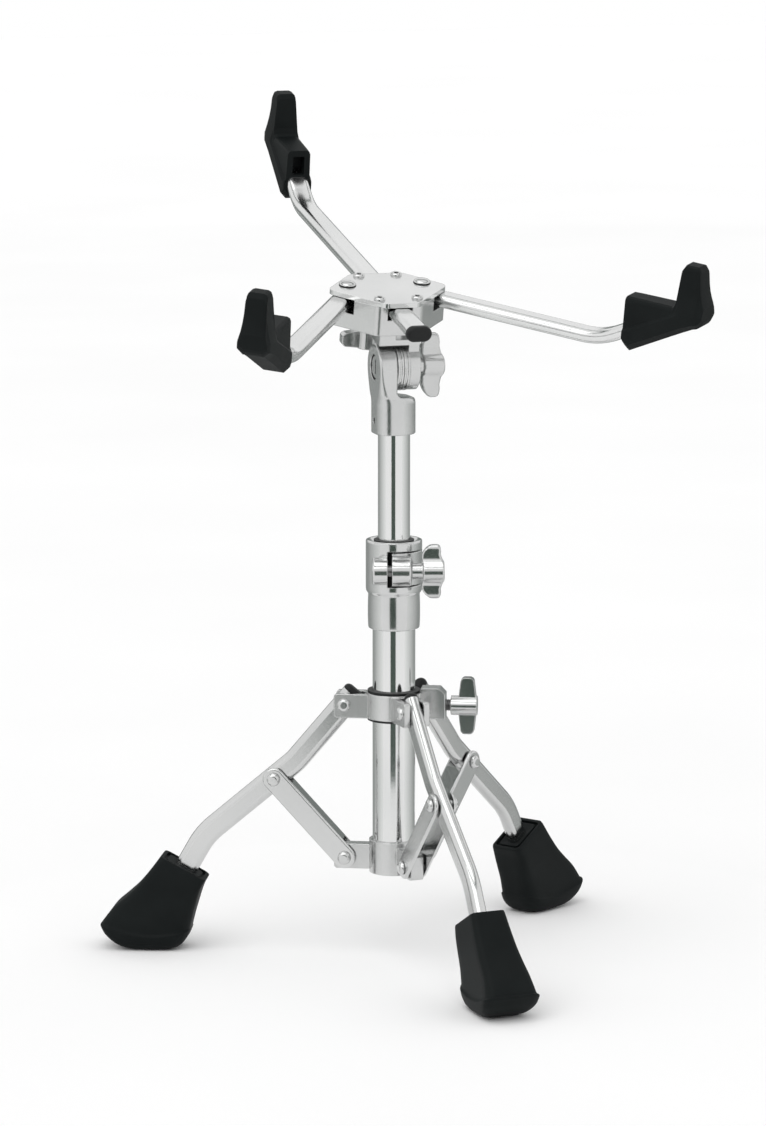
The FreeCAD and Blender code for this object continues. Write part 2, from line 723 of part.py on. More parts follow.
def leg_collar():
    """The collar that slides on the base tube: a ring, a fork for each leg and a nut lug."""
    body = add_body("leg_collar", leg_place(0))
    bottom = "Size.collar_bottom"
    ring = sketch_on(body, "XY_Plane", offset=bottom)
    circle(ring, "Size.collar_diameter")
    pad(body, ring, "Size.collar_height")
    lug_turn = {"lean": "Size.leg_azimuth - Size.collar_wing_azimuth", "lean_axis": "0; -1; 0"}
    lug = sketch_on(body, "XZ_Plane", **lug_turn)
    pin_x = "Size.pin_circle_radius"
    pin_z = "Size.collar_pin_height"
    lug_end = "Size.collar_lug_reach"
    lug_top = f"{pin_z} + Size.collar_lug_above_pin"
    polygon(lug, [
        ("0", bottom), (lug_end, bottom), (lug_end, f"{lug_top} - Size.collar_lug_slope"),
        (f"{lug_end} - Size.collar_lug_slope", lug_top), ("Size.collar_diameter / 2", lug_top),
        ("Size.collar_diameter / 2", "Size.collar_top"), ("0", "Size.collar_top"),
    ])
    pad(body, lug, "Size.collar_lug_width", both=True)
    ear = sketch_on(body, "XZ_Plane")
    blunt_end(ear, "Size.collar_bore / 2 + Size.seat_gap", f"{pin_x} + Size.collar_ear_reach",
              bottom, f"{pin_z} + Size.collar_ear_above_pin")
    plates = pad(body, ear, "2 * Size.ear_half", both=True)
    slot = sketch_on(body, "XZ_Plane")
    rectangle(slot, "Size.collar_diameter / 2 + Size.side_gap", FAR, "0", f"2 * {pin_z}")
    fork = cut(body, slot, "2 * Size.fork_half", both=True)
    hole = drill(body, "XZ_Plane", "Size.pin_bore", "2 * Size.ear_half", pin_x, pin_z)
    three_times(body, [plates, fork, hole], ring)
    bore = sketch_on(body, "XY_Plane")
    circle(bore, "Size.collar_bore")
    cut(body, bore, "2 * Size.collar_top", ahead=True)
    thread = sketch_on(body, "YZ_Plane", y=pin_z, lean=lug_turn["lean"], lean_axis="0; -1; 0")
    circle(thread, "Size.wing_bolt_diameter + 2 * Size.running_fit")
    cut(body, thread, FAR, ahead=True)


def collar_bushing():
    """The nylon sleeve between the leg collar and the tube, with a lip above and below."""
    body = add_body("collar_bushing", leg_place(0))
    inner = "Size.bushing_bore / 2"
    outer = "Size.bushing_diameter / 2"
    lip = f"{outer} + Size.bushing_lip"
    low = "Size.collar_bottom"
    high = "Size.collar_top"
    turned(body, [
        (inner, f"{low} - Size.bushing_flange"), (lip, f"{low} - Size.bushing_flange"), (lip, low),
        (outer, low), (outer, high), (lip, high), (lip, f"{high} + Size.bushing_flange"),
        (inner, f"{high} + Size.bushing_flange"),
    ])
    hole = sketch_on(body, "YZ_Plane", y="Size.collar_pin_height",
                     lean="Size.leg_azimuth - Size.collar_wing_azimuth", lean_axis="0; -1; 0")
    circle(hole, "Size.wing_bolt_diameter + 2 * Size.running_fit")
    cut(body, hole, FAR, ahead=True)


def collar_wing_bolt():
    """The wing bolt that locks the leg collar on the base tube."""
    frame = place(z="Size.collar_pin_height", turn="Size.collar_wing_azimuth")
    body = add_body("collar_wing_bolt", frame)
    tip = "Size.base_tube_diameter / 2 + Size.seat_gap"
    hub = "Size.collar_lug_reach + Size.wing_bolt_show"
    rod(body, "Size.wing_bolt_diameter", tip, hub)
    blade = f"{hub} + Size.collar_wing_start"
    rod(body, "Size.wing_hub_diameter", hub, f"{blade} + Size.wing_root")
    wing(body, blade, "Size.wing_root", "Size.wing_tip", "Size.collar_wing_span", "Size.wing_sheet")


def foot_axis(height):
    """How far out the axis of a leg's lower end is at a height."""
    return f"Size.leg_end_radius + (Size.leg_end_height - ({height})) / tan(Size.leg_foot_angle)"


def rounded_section(body, height, shift, length, width, corner):
    """A level section of a foot, with round corners, about the leg's axis."""
    sketch = sketch_on(body, "XY_Plane", offset=height, x=f"{foot_axis(height)} + {shift}")
    across = f"({length}) / 2"
    side = f"({width}) / 2"
    inner_x = f"{across} - {corner}"
    inner_y = f"{side} - {corner}"
    ends = [
        (f"-({inner_x})", f"-({side})"), (inner_x, f"-({side})"), (across, f"-({inner_y})"),
        (across, inner_y), (inner_x, side), (f"-({inner_x})", side),
        (f"-({across})", inner_y), (f"-({across})", f"-({inner_y})"),
    ]
    centres = [
        (inner_x, f"-({inner_y})"), (inner_x, inner_y),
        (f"-({inner_x})", inner_y), (f"-({inner_x})", f"-({inner_y})"),
    ]
    points = [Vector(number(x), number(y), 0) for x, y in ends]
    middles = [Vector(number(x), number(y), 0) for x, y in centres]
    pieces = []
    for step in range(4):
        start = points[2 * step]
        turn = points[2 * step + 1]
        after = points[(2 * step + 2) % 8]
        pieces.append(sketch.addGeometry(Part.LineSegment(start, turn), False))
        pieces.append(sketch.addGeometry(arc_from(turn, after, middles[step]), False))
    for piece, after in zip(pieces, pieces[1:] + pieces[:1]):
        sketch.addConstraint(Sketcher.Constraint("Coincident", piece, 2, after, 1))
    for step in range(4):
        pin_point(sketch, pieces[2 * step], 1, *ends[2 * step])
        pin_point(sketch, pieces[2 * step], 2, *ends[2 * step + 1])
        tie_size(sketch, "Radius", pieces[2 * step + 1], corner)
    return sketch


def loft(body, sections):
    feature = body.newObject("PartDesign::AdditiveLoft", f"{body.Name}_loft")
    feature.Profile = sections[0]
    feature.Sections = sections[1:]
    feature.Ruled = True
    doc.recompute()
    return feature


def foot(index):
    """A rubber boot: a rounded sole with a ledge, and an upper that narrows to the leg."""
    body = add_body(f"foot_{index + 1}", leg_place(index))
    sole_shift = "Size.foot_sole_shift"
    sole = [
        rounded_section(body, "0", "Size.foot_contact_shift", "Size.foot_contact_length",
                        "Size.foot_contact_width", "Size.foot_corner"),
        rounded_section(body, "Size.foot_roll_height", "Size.foot_roll_shift", "Size.foot_roll_length",
                        "Size.foot_roll_width", "Size.foot_corner"),
        rounded_section(body, "Size.foot_sole_height", sole_shift, "Size.foot_sole_length",
                        "Size.foot_sole_width", "Size.foot_corner"),
    ]
    loft(body, sole)
    ledge = "2 * Size.foot_sole_ledge"
    top_reach = "(Size.foot_top_distance + Size.leg_width)"
    top_height = f"Size.leg_end_height + {top_reach} * sin(Size.leg_foot_angle)"
    upper = [
        rounded_section(body, "Size.foot_sole_height", sole_shift, f"Size.foot_sole_length - {ledge}",
                        f"Size.foot_sole_width - {ledge}", "Size.foot_corner"),
        rounded_section(body, "Size.foot_waist_height", "Size.foot_waist_shift", "Size.foot_waist_length",
                        "Size.foot_waist_width", "Size.foot_corner"),
        rounded_section(body, top_height, "0", "Size.foot_top_length / sin(Size.leg_foot_angle)",
                        "Size.foot_top_width", "Size.foot_corner"),
    ]
    loft(body, upper)
    rim = {
        "y": "Size.leg_end_height + Size.foot_top_distance * sin(Size.leg_foot_angle)",
        "offset": "Size.leg_end_radius - Size.foot_top_distance * cos(Size.leg_foot_angle)",
        "lean": "Size.leg_foot_angle",
    }
    slant = sketch_on(body, "YZ_Plane", **rim)
    rectangle(slant, "-Size.foot_sole_length", "Size.foot_sole_length",
              "-Size.foot_sole_length", "Size.foot_sole_length")
    cut(body, slant, "Size.foot_sole_length")
    socket = sketch_on(body, "YZ_Plane", **rim)
    room = "2 * Size.running_fit"
    flat_oval(socket, f"Size.leg_width + {room}", f"Size.leg_thickness + {room}", upright=True)
    cut(body, socket, "Size.foot_top_distance", ahead=True)


# Height clamp

BOLT_Y = "-Size.clamp_bolt_forward"
BOLT_Z = "Size.clamp_bolt_height"


def clamp_body():
    """A split collar on top of the base tube, with two barrels for the clamp bolt."""
    body = add_body("clamp_body", CLAMP_PLACE)
    sleeve = sketch_on(body, "XY_Plane", offset="Size.clamp_bottom")
    circle(sleeve, "Size.clamp_sleeve_diameter")
    pad(body, sleeve, "Size.clamp_sleeve_length")
    collar = sketch_on(body, "XY_Plane", offset="Size.base_tube_top")
    circle(collar, "Size.clamp_collar_diameter")
    pad(body, collar, "Size.clamp_collar_height")
    rod(body, "Size.clamp_barrel_diameter", "-Size.clamp_barrel_left", "Size.clamp_barrel_right",
        BOLT_Y, BOLT_Z)
    bore = sketch_on(body, "XY_Plane", offset="Size.base_tube_top")
    circle(bore, "Size.base_tube_diameter + 2 * Size.running_fit")
    cut(body, bore, "Size.clamp_sleeve_length")
    seat = sketch_on(body, "XY_Plane", offset="Size.clamp_top")
    circle(seat, "Size.clamp_bushing_diameter + 2 * Size.running_fit")
    cut(body, seat, "Size.clamp_collar_height")
    split_low = "Size.clamp_split_shift - Size.clamp_split_width / 2"
    split_high = "Size.clamp_split_shift + Size.clamp_split_width / 2"
    split = sketch_on(body, "XY_Plane", offset="Size.clamp_top")
    rectangle(split, split_low, split_high, "-2 * Size.clamp_collar_diameter", "0")
    cut(body, split, "Size.clamp_collar_height")
    relief = sketch_on(body, "XY_Plane", offset="Size.base_tube_top")
    rectangle(relief, "-Size.clamp_collar_diameter", "Size.clamp_collar_diameter",
              "-Size.clamp_collar_diameter", "-Size.clamp_relief_start")
    cut(body, relief, "Size.clamp_relief", ahead=True)
    hole = sketch_on(body, "YZ_Plane")
    circle(hole, "Size.clamp_bolt_diameter + 2 * Size.running_fit", BOLT_Y, BOLT_Z)
    cut(body, hole, "4 * Size.clamp_barrel_left", both=True)


def clamp_bushing():
    """The nylon sleeve in which the upper tube slides and turns."""
    body = add_body("clamp_bushing", CLAMP_PLACE)
    sleeve = sketch_on(body, "XY_Plane", offset="Size.base_tube_top + Size.seat_gap")
    circle(sleeve, "Size.clamp_bushing_diameter")
    circle(sleeve, "Size.upper_tube_diameter + 2 * Size.running_fit")
    pad(body, sleeve, "Size.clamp_collar_height - Size.seat_gap")


def clamp_bolt():
    body = add_body("clamp_bolt", CLAMP_PLACE)
    end = "Size.clamp_barrel_right + Size.wing_nut_length"
    rod(body, "Size.clamp_bolt_diameter", "-Size.clamp_barrel_left", end, BOLT_Y, BOLT_Z)
    rod(body, "Size.clamp_bolt_head", "-Size.clamp_barrel_left - Size.clamp_bolt_head_height",
        "-Size.clamp_barrel_left", BOLT_Y, BOLT_Z)


def wing_nut(label, placement, bolt_diameter, start, span):
    """A hub with a threaded bore and two wings, along X from a start."""
    body = add_body(label, placement)
    wing(body, f"{start} + Size.wing_nut_length - Size.wing_root", "Size.wing_root", "Size.wing_tip",
         span, "Size.wing_sheet")
    rod(body, "Size.wing_hub_diameter", start, f"{start} + Size.wing_nut_length")
    hole = sketch_on(body, "YZ_Plane", offset=start)
    circle(hole, f"{bolt_diameter} + 2 * Size.running_fit")
    cut(body, hole, "Size.wing_nut_length", ahead=True)


def clamp_wing_nut():
    turn = "rotation(vector(0; 0; 1); Size.clamp_azimuth)"
    frame = f"placement({turn} * vector(0; {BOLT_Y}; {BOLT_Z}); {turn})"
    wing_nut("clamp_wing_nut", frame, "Size.clamp_bolt_diameter",
             "Size.clamp_barrel_right + Size.seat_gap", "Size.clamp_wing_span")


# Tilter: a casting on the upper tube, friction discs, and the bolt that the head tilts on.

def tilter_body():
    """A socket on the upper tube with one ear beside the tilt axis."""
    body = add_body("tilter_body", PIVOT_PLACE)
    bottom = "-Size.tilter_pivot_height"
    socket = sketch_on(body, "XY_Plane", offset=bottom)
    circle(socket, "Size.tilter_diameter")
    pad(body, socket, "Size.tilter_socket_length")
    left = "-Size.tilter_ear_left"
    foot_half = "Size.tilter_foot_width / 2"
    ear = sketch_on(body, "YZ_Plane", offset=left)
    polygon(ear, [
        (f"-{foot_half}", bottom), (foot_half, bottom),
        ("Size.tilter_ear_radius", "0"), ("-Size.tilter_ear_radius", "0"),
    ])
    pad(body, ear, "Size.tilter_ear_thickness")
    crown = sketch_on(body, "YZ_Plane", offset=left)
    circle(crown, "2 * Size.tilter_ear_radius")
    pad(body, crown, "Size.tilter_ear_thickness")
    bore = sketch_on(body, "XY_Plane", offset=bottom)
    circle(bore, "Size.upper_tube_diameter + 2 * Size.running_fit")
    cut(body, bore, "Size.tilter_socket_depth", ahead=True)
    through = "2 * Size.tilter_diameter"
    drill(body, "YZ_Plane", "Size.tilter_bolt_diameter + 2 * Size.running_fit", through)
    recess = sketch_on(body, "YZ_Plane", offset=left)
    circle(recess, "Size.tilter_recess_diameter")
    cut(body, recess, "Size.tilter_bolt_recess", ahead=True)
    drill(body, "YZ_Plane", "Size.roll_pin_diameter + 2 * Size.running_fit", through,
          y="Size.tilter_socket_depth / 2 - Size.tilter_pivot_height")


def tilter_roll_pin():
    body = add_body("tilter_roll_pin", place(z="Size.tilter_bottom + Size.tilter_socket_depth / 2"))
    end = "Size.tilter_diameter / 2 - Size.roll_pin_inset"
    rod(body, "Size.roll_pin_diameter", f"-({end})", end)


def tilter_disc(label, placement, start):
    """A friction disc with a groove round its rim."""
    body = add_body(label, placement)
    third = "Size.tilter_disc_thickness / 3"
    rim = "Size.tilter_disc_diameter"
    groove = f"{rim} - 2 * Size.tilter_disc_groove"
    for step, diameter in enumerate((rim, groove, rim)):
        rod(body, diameter, f"{start} + {step} * {third}", f"{start} + {step + 1} * {third}")
    hole = sketch_on(body, "YZ_Plane", offset=start)
    circle(hole, "Size.tilter_bolt_diameter + 2 * Size.running_fit")
    cut(body, hole, "2 * Size.tilter_disc_thickness", ahead=True)


def tilter_bolt():
    body = add_body("tilter_bolt", PIVOT_PLACE)
    seat = "Size.tilter_bolt_recess - Size.tilter_ear_left"
    end = "Size.head_ear_end + Size.seat_gap + Size.tilter_bolt_in_nut"
    rod(body, "Size.tilter_bolt_diameter", seat, end)
    face = f"{seat} - Size.tilter_bolt_head_height"
    rod(body, "Size.tilter_bolt_head", face, seat)
    slot = sketch_on(body, "YZ_Plane", offset=face)
    rectangle(slot, "-Size.tilter_slot_width / 2", "Size.tilter_slot_width / 2",
              "-Size.tilter_slot_length / 2", "Size.tilter_slot_length / 2")
    cut(body, slot, "Size.tilter_slot_depth", ahead=True)


# Basket head, in a frame on the tilt axis that leans with the basket.

def screw_places():
    across = "Size.head_screw_across / 2"
    along = "Size.head_screw_along / 2"
    centre = "-Size.head_plate_forward"
    sides = [f"Size.head_shift + {across}", f"Size.head_shift - {across}"]
    return [(x, y) for x in sides for y in (f"{centre} + {along}", f"{centre} - {along}")]


def rivet_place(side):
    return f"Size.head_shift + {side} * Size.rivet_spacing / 2", "Size.rivet_along"


def plate_outline(sketch, front, front_flat):
    """A long hexagon with its points just in front of the tilt axis."""
    tip = "Size.head_plate_half_length"
    near = f"{front_flat} / 2"
    far = "Size.head_plate_back_flat / 2"
    middle = "Size.head_shift"
    centre = "-Size.head_plate_forward"
    ahead = f"{centre} - {front}"
    behind = f"{centre} + Size.head_plate_back"
    polygon(sketch, [
        (f"{middle} - {tip}", centre), (f"{middle} - {near}", ahead), (f"{middle} + {near}", ahead),
        (f"{middle} + {tip}", centre), (f"{middle} + {far}", behind), (f"{middle} - {far}", behind),
    ])


def head_plate():
    body = add_body("head_plate", HEAD_PLACE)
    sketch = sketch_on(body, "XY_Plane", offset="Size.arm_layer_top")
    plate_outline(sketch, "Size.head_plate_front", "Size.head_plate_front_flat")
    for x, y in screw_places():
        circle(sketch, "Size.head_screw_diameter + 2 * Size.running_fit", x, y)
    for side in ("1", "-1"):
        circle(sketch, "Size.rivet_diameter + 2 * Size.running_fit", *rivet_place(side))
    pad(body, sketch, "Size.head_plate_sheet")
    upright = Vector(0, 0, 1)
    round_edges(body, lambda edge: runs_along(edge, upright), "Size.head_plate_corner")


def arm_pocket(body, side):
    """Room for a basket arm to swing between its two stops."""
    x, y = rivet_place(side)
    pocket = {"offset": "Size.arm_layer_top"}
    depth = "Size.arm_layer_top - Size.arm_layer_floor"
    end = sketch_on(body, "XY_Plane", **pocket)
    circle(end, "2 * (sqrt(Size.arm_tail ^ 2 + (Size.arm_width / 2) ^ 2) + Size.side_gap)", x, y)
    cut(body, end, depth)
    reach = "3 * Size.head_plate_half_length"
    room = "Size.arm_pocket_half"
    front = "Size.arm_stop_front"
    rear = "Size.arm_stop_back"
    front_x = f"{x} - {side} * {room} * cos({front})"
    front_y = f"{y} - {room} * sin({front})"
    rear_x = f"{x} + {side} * {room} * cos({rear})"
    rear_y = f"{y} + {room} * sin({rear})"
    fan = sketch_on(body, "XY_Plane", **pocket)
    polygon(fan, [
        (front_x, front_y),
        (f"{front_x} + {side} * {reach} * sin({front})", f"{front_y} - {reach} * cos({front})"),
        (f"{rear_x} + {side} * {reach} * sin({rear})", f"{rear_y} - {reach} * cos({rear})"),
        (rear_x, rear_y),
    ])
    cut(body, fan, depth)


def head_body():
    """The casting under the plate: arm pockets, slide channel, neck, tilt ear and lock boss."""
    body = add_body("head_body", HEAD_PLACE)
    bottom = "Size.head_block_bottom"
    block = sketch_on(body, "XY_Plane", offset=bottom)
    plate_outline(block, "Size.head_block_front", "Size.head_block_front_flat")
    pad(body, block, f"Size.arm_layer_top - {bottom}")
    upright = Vector(0, 0, 1)
    round_edges(body, lambda edge: runs_along(edge, upright), "Size.head_plate_corner")
    half_depth = "Size.head_neck_depth / 2"
    left = "-Size.tilter_ear_left"
    neck_low = "Size.head_neck_bottom"
    neck = sketch_on(body, "XY_Plane", offset=neck_low)
    rectangle(neck, left, f"Size.head_neck_wall {left}", f"-{half_depth}", half_depth)
    pad(body, neck, f"{bottom} - {neck_low}")
    floor = sketch_on(body, "XY_Plane", offset=neck_low)
    rectangle(floor, left, "Size.head_ear_end", f"-{half_depth}", half_depth)
    pad(body, floor, "Size.head_neck_floor")
    ear = sketch_on(body, "YZ_Plane", offset="Size.head_ear_start")
    rectangle(ear, f"-{half_depth}", half_depth, "0", bottom)
    pad(body, ear, "Size.head_ear_thickness")
    eye = sketch_on(body, "YZ_Plane", offset="Size.head_ear_start")
    circle(eye, "2 * Size.tilter_ear_radius")
    pad(body, eye, "Size.head_ear_thickness")
    boss_half = "Size.arm_lock_boss / 2"
    shift = "Size.head_shift"
    tail = sketch_on(body, "XY_Plane", offset=bottom)
    rectangle(tail, f"{shift} - {boss_half}", f"{shift} + {boss_half}", "0", "Size.arm_lock_along")
    pad(body, tail, f"Size.arm_layer_floor - {bottom}")
    boss = sketch_on(body, "XY_Plane", offset=f"{bottom} - Size.arm_lock_boss_height")
    circle(boss, "Size.arm_lock_boss", shift, "Size.arm_lock_along")
    pad(body, boss, f"Size.arm_layer_floor - {bottom} + Size.arm_lock_boss_height")
    channel = sketch_on(body, "XY_Plane", offset="Size.arm_layer_top")
    rectangle(channel, f"{shift} - Size.arm_pocket_half", f"{shift} + Size.arm_pocket_half",
              "-3 * Size.head_plate_half_length", "3 * Size.head_plate_half_length")
    cut(body, channel, "Size.arm_layer_top - Size.arm_layer_floor")
    for side in ("1", "-1"):
        arm_pocket(body, side)
    holes = sketch_on(body, "XY_Plane", offset="Size.arm_layer_top")
    for x, y in screw_places():
        circle(holes, "Size.head_screw_diameter + 2 * Size.running_fit", x, y)
    for side in ("1", "-1"):
        circle(holes, "Size.rivet_diameter + 2 * Size.running_fit", *rivet_place(side))
    cut(body, holes, f"Size.arm_layer_top - {bottom}")
    thread = sketch_on(body, "XY_Plane", offset="Size.arm_layer_top")
    circle(thread, "Size.arm_lock_diameter + 2 * Size.running_fit", shift, "Size.arm_lock_along")
    cut(body, thread, "Size.arm_layer_top")
    pivot = sketch_on(body, "YZ_Plane", offset="Size.head_ear_start")
    circle(pivot, "Size.tilter_bolt_diameter + 2 * Size.running_fit")
    cut(body, pivot, "Size.head_ear_thickness", ahead=True)


def head_screws():
    """Four screws that hold the plate on the casting."""
    body = add_body("head_screws", HEAD_PLACE)
    shafts = sketch_on(body, "XY_Plane", offset="Size.head_block_bottom")
    for x, y in screw_places():
        circle(shafts, "Size.head_screw_diameter", x, y)
    pad(body, shafts, "Size.head_plate_height - Size.head_block_bottom")
    heads = sketch_on(body, "XY_Plane", offset="Size.head_plate_height")
    for x, y in screw_places():
        circle(heads, "Size.head_screw_head", x, y)
    pad(body, heads, "Size.head_screw_head_height")


def arm_rivet(label, side):
    """The rivet that a basket arm swings on, set flush under the casting."""
    body = add_body(label, HEAD_PLACE)
    x, y = rivet_place(side)
    low = "Size.head_block_bottom"
    top = "Size.head_plate_height"
    shaft = sketch_on(body, "XY_Plane", offset=low)
    circle(shaft, "Size.rivet_diameter", x, y)
    pad(body, shaft, f"{top} - {low}")
    head = sketch_on(body, "XY_Plane", offset=top)
    circle(head, "Size.rivet_head", x, y)
    pad(body, head, "Size.rivet_head_height")
    crown = number(f"{top} + Size.rivet_head_height") - 1e-6
    round_edges(body, lambda edge: edge.CenterOfMass.z > crown, "Size.rivet_head_round")


# Basket arms and claws, in frames that run out along each arm.

def swing_frame(side, angle):
    x, y = rivet_place(side)
    return in_head(x, y, "Size.arm_middle", f"{side} * {angle} - 90")


SLIDE_FRAME = in_head("Size.head_shift", "0", "Size.arm_middle", "90")


def arm_tube(label, frame, start, reach):
    """A flat-oval tube from a start to a bend, then up into the claw."""
    body = add_body(label, frame)
    spine = sketch_on(body, "XZ_Plane")
    bent_path(spine, [
        (start, "0"), (reach, "0"),
        (f"{reach} + Size.arm_tip_length * cos(Size.arm_bend_angle)",
         "Size.arm_tip_length * sin(Size.arm_bend_angle)"),
    ], ["Size.arm_bend_radius"])
    profile = sketch_on(body, "YZ_Plane", offset=start)
    flat_oval(profile, "Size.arm_width", "Size.arm_thickness", upright=False)
    flat_oval(profile, "Size.arm_width - 2 * Size.arm_wall", "Size.arm_thickness - 2 * Size.arm_wall",
              upright=False)
    swept(body, profile, spine)
    return body


def swing_arm(label, side, angle):
    body = arm_tube(label, swing_frame(side, angle), "-Size.arm_tail", "Size.arm_reach")
    drill(body, "XY_Plane", "Size.rivet_diameter + 2 * Size.running_fit", "Size.arm_thickness")


def claw(label, frame, reach):
    """A rubber claw over the end of an arm: a heel, a seat for the hoop and an upright post."""
    body = add_body(label, frame)
    inner = f"{reach} + Size.claw_inner"
    seat = "Size.claw_seat_height"
    post = f"{inner} + Size.claw_seat_length"
    back = f"{post} + Size.claw_post_length"
    top = f"{seat} + Size.claw_post_height"
    lean = "Size.claw_post_lean"
    outline = sketch_on(body, "XZ_Plane")
    polygon(outline, [
        (inner, "Size.claw_chin / 2"), (f"{inner} + Size.claw_chin", "-Size.claw_chin_drop"),
        (f"{back} - {lean}", "Size.claw_heel_height"), (back, f"{seat} + {lean}"),
        (f"{back} - 2 * {lean}", top), (f"{post} + 2 * {lean}", top),
        (f"{post} + {lean}", f"{top} - {lean}"), (post, seat), (inner, seat),
    ])
    pad(body, outline, "Size.claw_base_width", both=True)
    half = "Size.claw_base_width / 2"
    narrow = "Size.claw_top_width / 2"
    taper = sketch_on(body, "YZ_Plane", offset=inner)
    for sign in ("", "-"):
        polygon(taper, [
            (f"{sign}({half})", seat), (f"{sign}({half} + {lean})", seat),
            (f"{sign}({half} + {lean})", f"{top} + {lean}"), (f"{sign}({narrow})", f"{top} + {lean}"),
        ])
    cut(body, taper, "Size.claw_seat_length + 2 * Size.claw_post_length", ahead=True)
    socket = sketch_on(body, "YZ_Plane", offset=reach,
                       lean="Size.arm_bend_angle", lean_axis="-1; 0; 0")
    room = "2 * Size.running_fit"
    flat_oval(socket, f"Size.arm_width + {room}", f"Size.arm_thickness + {room}", upright=False)
    cut(body, socket, "Size.arm_tip_length", ahead=True)


def slide_cap():
    """The plastic cap on the front end of the sliding arm."""
    body = add_body("slide_cap", SLIDE_FRAME)
    start = "-Size.slide_stub"
    cap = sketch_on(body, "YZ_Plane", offset=start)
    rim = "2 * Size.slide_cap_rim"
    flat_oval(cap, f"Size.arm_width + {rim}", f"Size.arm_thickness + {rim}", upright=False)
    pad(body, cap, "Size.slide_cap_length", back=True)
    plug = sketch_on(body, "YZ_Plane", offset=start)
    inside = "2 * (Size.arm_wall + Size.running_fit)"
    flat_oval(plug, f"Size.arm_width - {inside}", f"Size.arm_thickness - {inside}", upright=False)
    pad(body, plug, "2 * Size.slide_cap_length")
    face = number(f"{start} - Size.slide_cap_length") + 1e-6
    round_edges(body, lambda edge: edge.CenterOfMass.x < face, "Size.slide_cap_round")


def arm_wing_bolt():
    """The wing bolt that presses up on the sliding arm, behind the neck."""
    offset = f"{HEAD_TURN} * vector(Size.head_shift; Size.arm_lock_along; 0)"
    frame = (f"placement(vector(0; 0; Size.pivot_height) + {offset}; "
             f"{HEAD_TURN} * rotation(vector(0; 1; 0); -90))")
    body = add_body("arm_wing_bolt", frame)
    low = "Size.arm_lock_hub_top - Size.wing_root"
    wing(body, low, "Size.wing_root", "Size.wing_tip", "Size.arm_lock_span", "Size.wing_sheet")
    rod(body, "Size.wing_hub_diameter", low, "Size.arm_lock_hub_top + Size.arm_lock_hub_rise")
    rod(body, "Size.arm_lock_diameter", low, "Size.arm_layer_floor")


def build():
    base_tube()
    lower_collar()
    lower_collar_screw()
    leg_collar()
    collar_bushing()
    collar_wing_bolt()
    for index in range(3):
        leg(index)
        leg_cap(index)
        foot(index)
        stay(index)
        pin_through(f"lower_pin_{index + 1}", leg_place(index), "Size.pin_circle_radius",
                    "Size.lower_pin_height", "Size.stay_half + Size.seat_gap")
        pin_through(f"stay_pin_{index + 1}", leg_place(index), "Size.stay_pin_radius",
                    "Size.stay_pin_height", "Size.stay_half + Size.seat_gap")
        pin_through(f"collar_pin_{index + 1}", leg_place(index), "Size.pin_circle_radius",
                    "Size.collar_pin_height", "Size.ear_half")
    clamp_body()
    clamp_bushing()
    clamp_bolt()
    clamp_wing_nut()
    upper_tube()
    tilter_body()
    tilter_roll_pin()
    tilter_disc("tilter_disc_fixed", PIVOT_PLACE, "Size.disc_fixed_start")
    tilter_disc("tilter_disc_moving", HEAD_PLACE, "Size.disc_moving_start")
    tilter_bolt()
    wing_nut("tilter_wing_nut", PIVOT_PLACE, "Size.tilter_bolt_diameter",
             "Size.head_ear_end + Size.seat_gap", "Size.tilter_wing_span")
    head_body()
    head_plate()
    head_screws()
    arm_rivet("arm_rivet_right", "1")
    arm_rivet("arm_rivet_left", "-1")
    swing_arm("arm_right", "1", "Size.arm_right_angle")
    swing_arm("arm_left", "-1", "Size.arm_left_angle")
    arm_tube("arm_slide", SLIDE_FRAME, "-Size.slide_stub", "Size.slide_reach")
    claw("claw_right", swing_frame("1", "Size.arm_right_angle"), "Size.arm_reach")
    claw("claw_left", swing_frame("-1", "Size.arm_left_angle"), "Size.arm_reach")
    claw("claw_back", SLIDE_FRAME, "Size.slide_reach")
    slide_cap()
    arm_wing_bolt()


def write_parts():
    """Checks every object and writes each sub-part to its own file."""
    doc.recompute()
    for item in doc.Objects:
        if {"Invalid", "Error"} & set(item.State):
            raise RuntimeError(f"{item.Label} failed: {item.State}")
    for body in subparts:
        if body.Shape.isNull() or not body.Shape.isValid():
            raise RuntimeError(f"{body.Label} has no valid shape")
    os.makedirs("parts", exist_ok=True)
    for body in subparts:
        body.Shape.exportStep(f"parts/{body.Label}.step")


build()
write_parts()
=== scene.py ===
import json
import math

import bmesh
import bpy
from mathutils import Matrix, Vector


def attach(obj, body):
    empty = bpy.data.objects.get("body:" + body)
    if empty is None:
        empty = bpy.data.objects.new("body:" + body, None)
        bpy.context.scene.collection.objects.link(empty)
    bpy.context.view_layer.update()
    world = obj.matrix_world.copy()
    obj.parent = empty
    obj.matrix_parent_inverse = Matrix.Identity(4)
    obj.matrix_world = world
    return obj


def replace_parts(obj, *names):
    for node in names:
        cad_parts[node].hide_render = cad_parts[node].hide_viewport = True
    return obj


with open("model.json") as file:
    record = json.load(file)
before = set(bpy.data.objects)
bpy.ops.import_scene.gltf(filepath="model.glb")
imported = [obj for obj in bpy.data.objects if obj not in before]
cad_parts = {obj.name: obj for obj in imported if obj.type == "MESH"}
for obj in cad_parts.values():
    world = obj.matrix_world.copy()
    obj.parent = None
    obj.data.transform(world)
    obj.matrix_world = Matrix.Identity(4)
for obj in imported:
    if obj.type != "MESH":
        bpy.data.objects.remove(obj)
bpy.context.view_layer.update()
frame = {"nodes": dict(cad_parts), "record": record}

# A chromed snare drum stand with rubber boots and claws, in metres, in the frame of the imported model.
# The tables of shapes are in millimetres.

MM = 0.001
nodes = frame["nodes"]
slot_of = {row["node"]: row["material_slot"] for row in frame["record"]["subparts"]}


# Materials

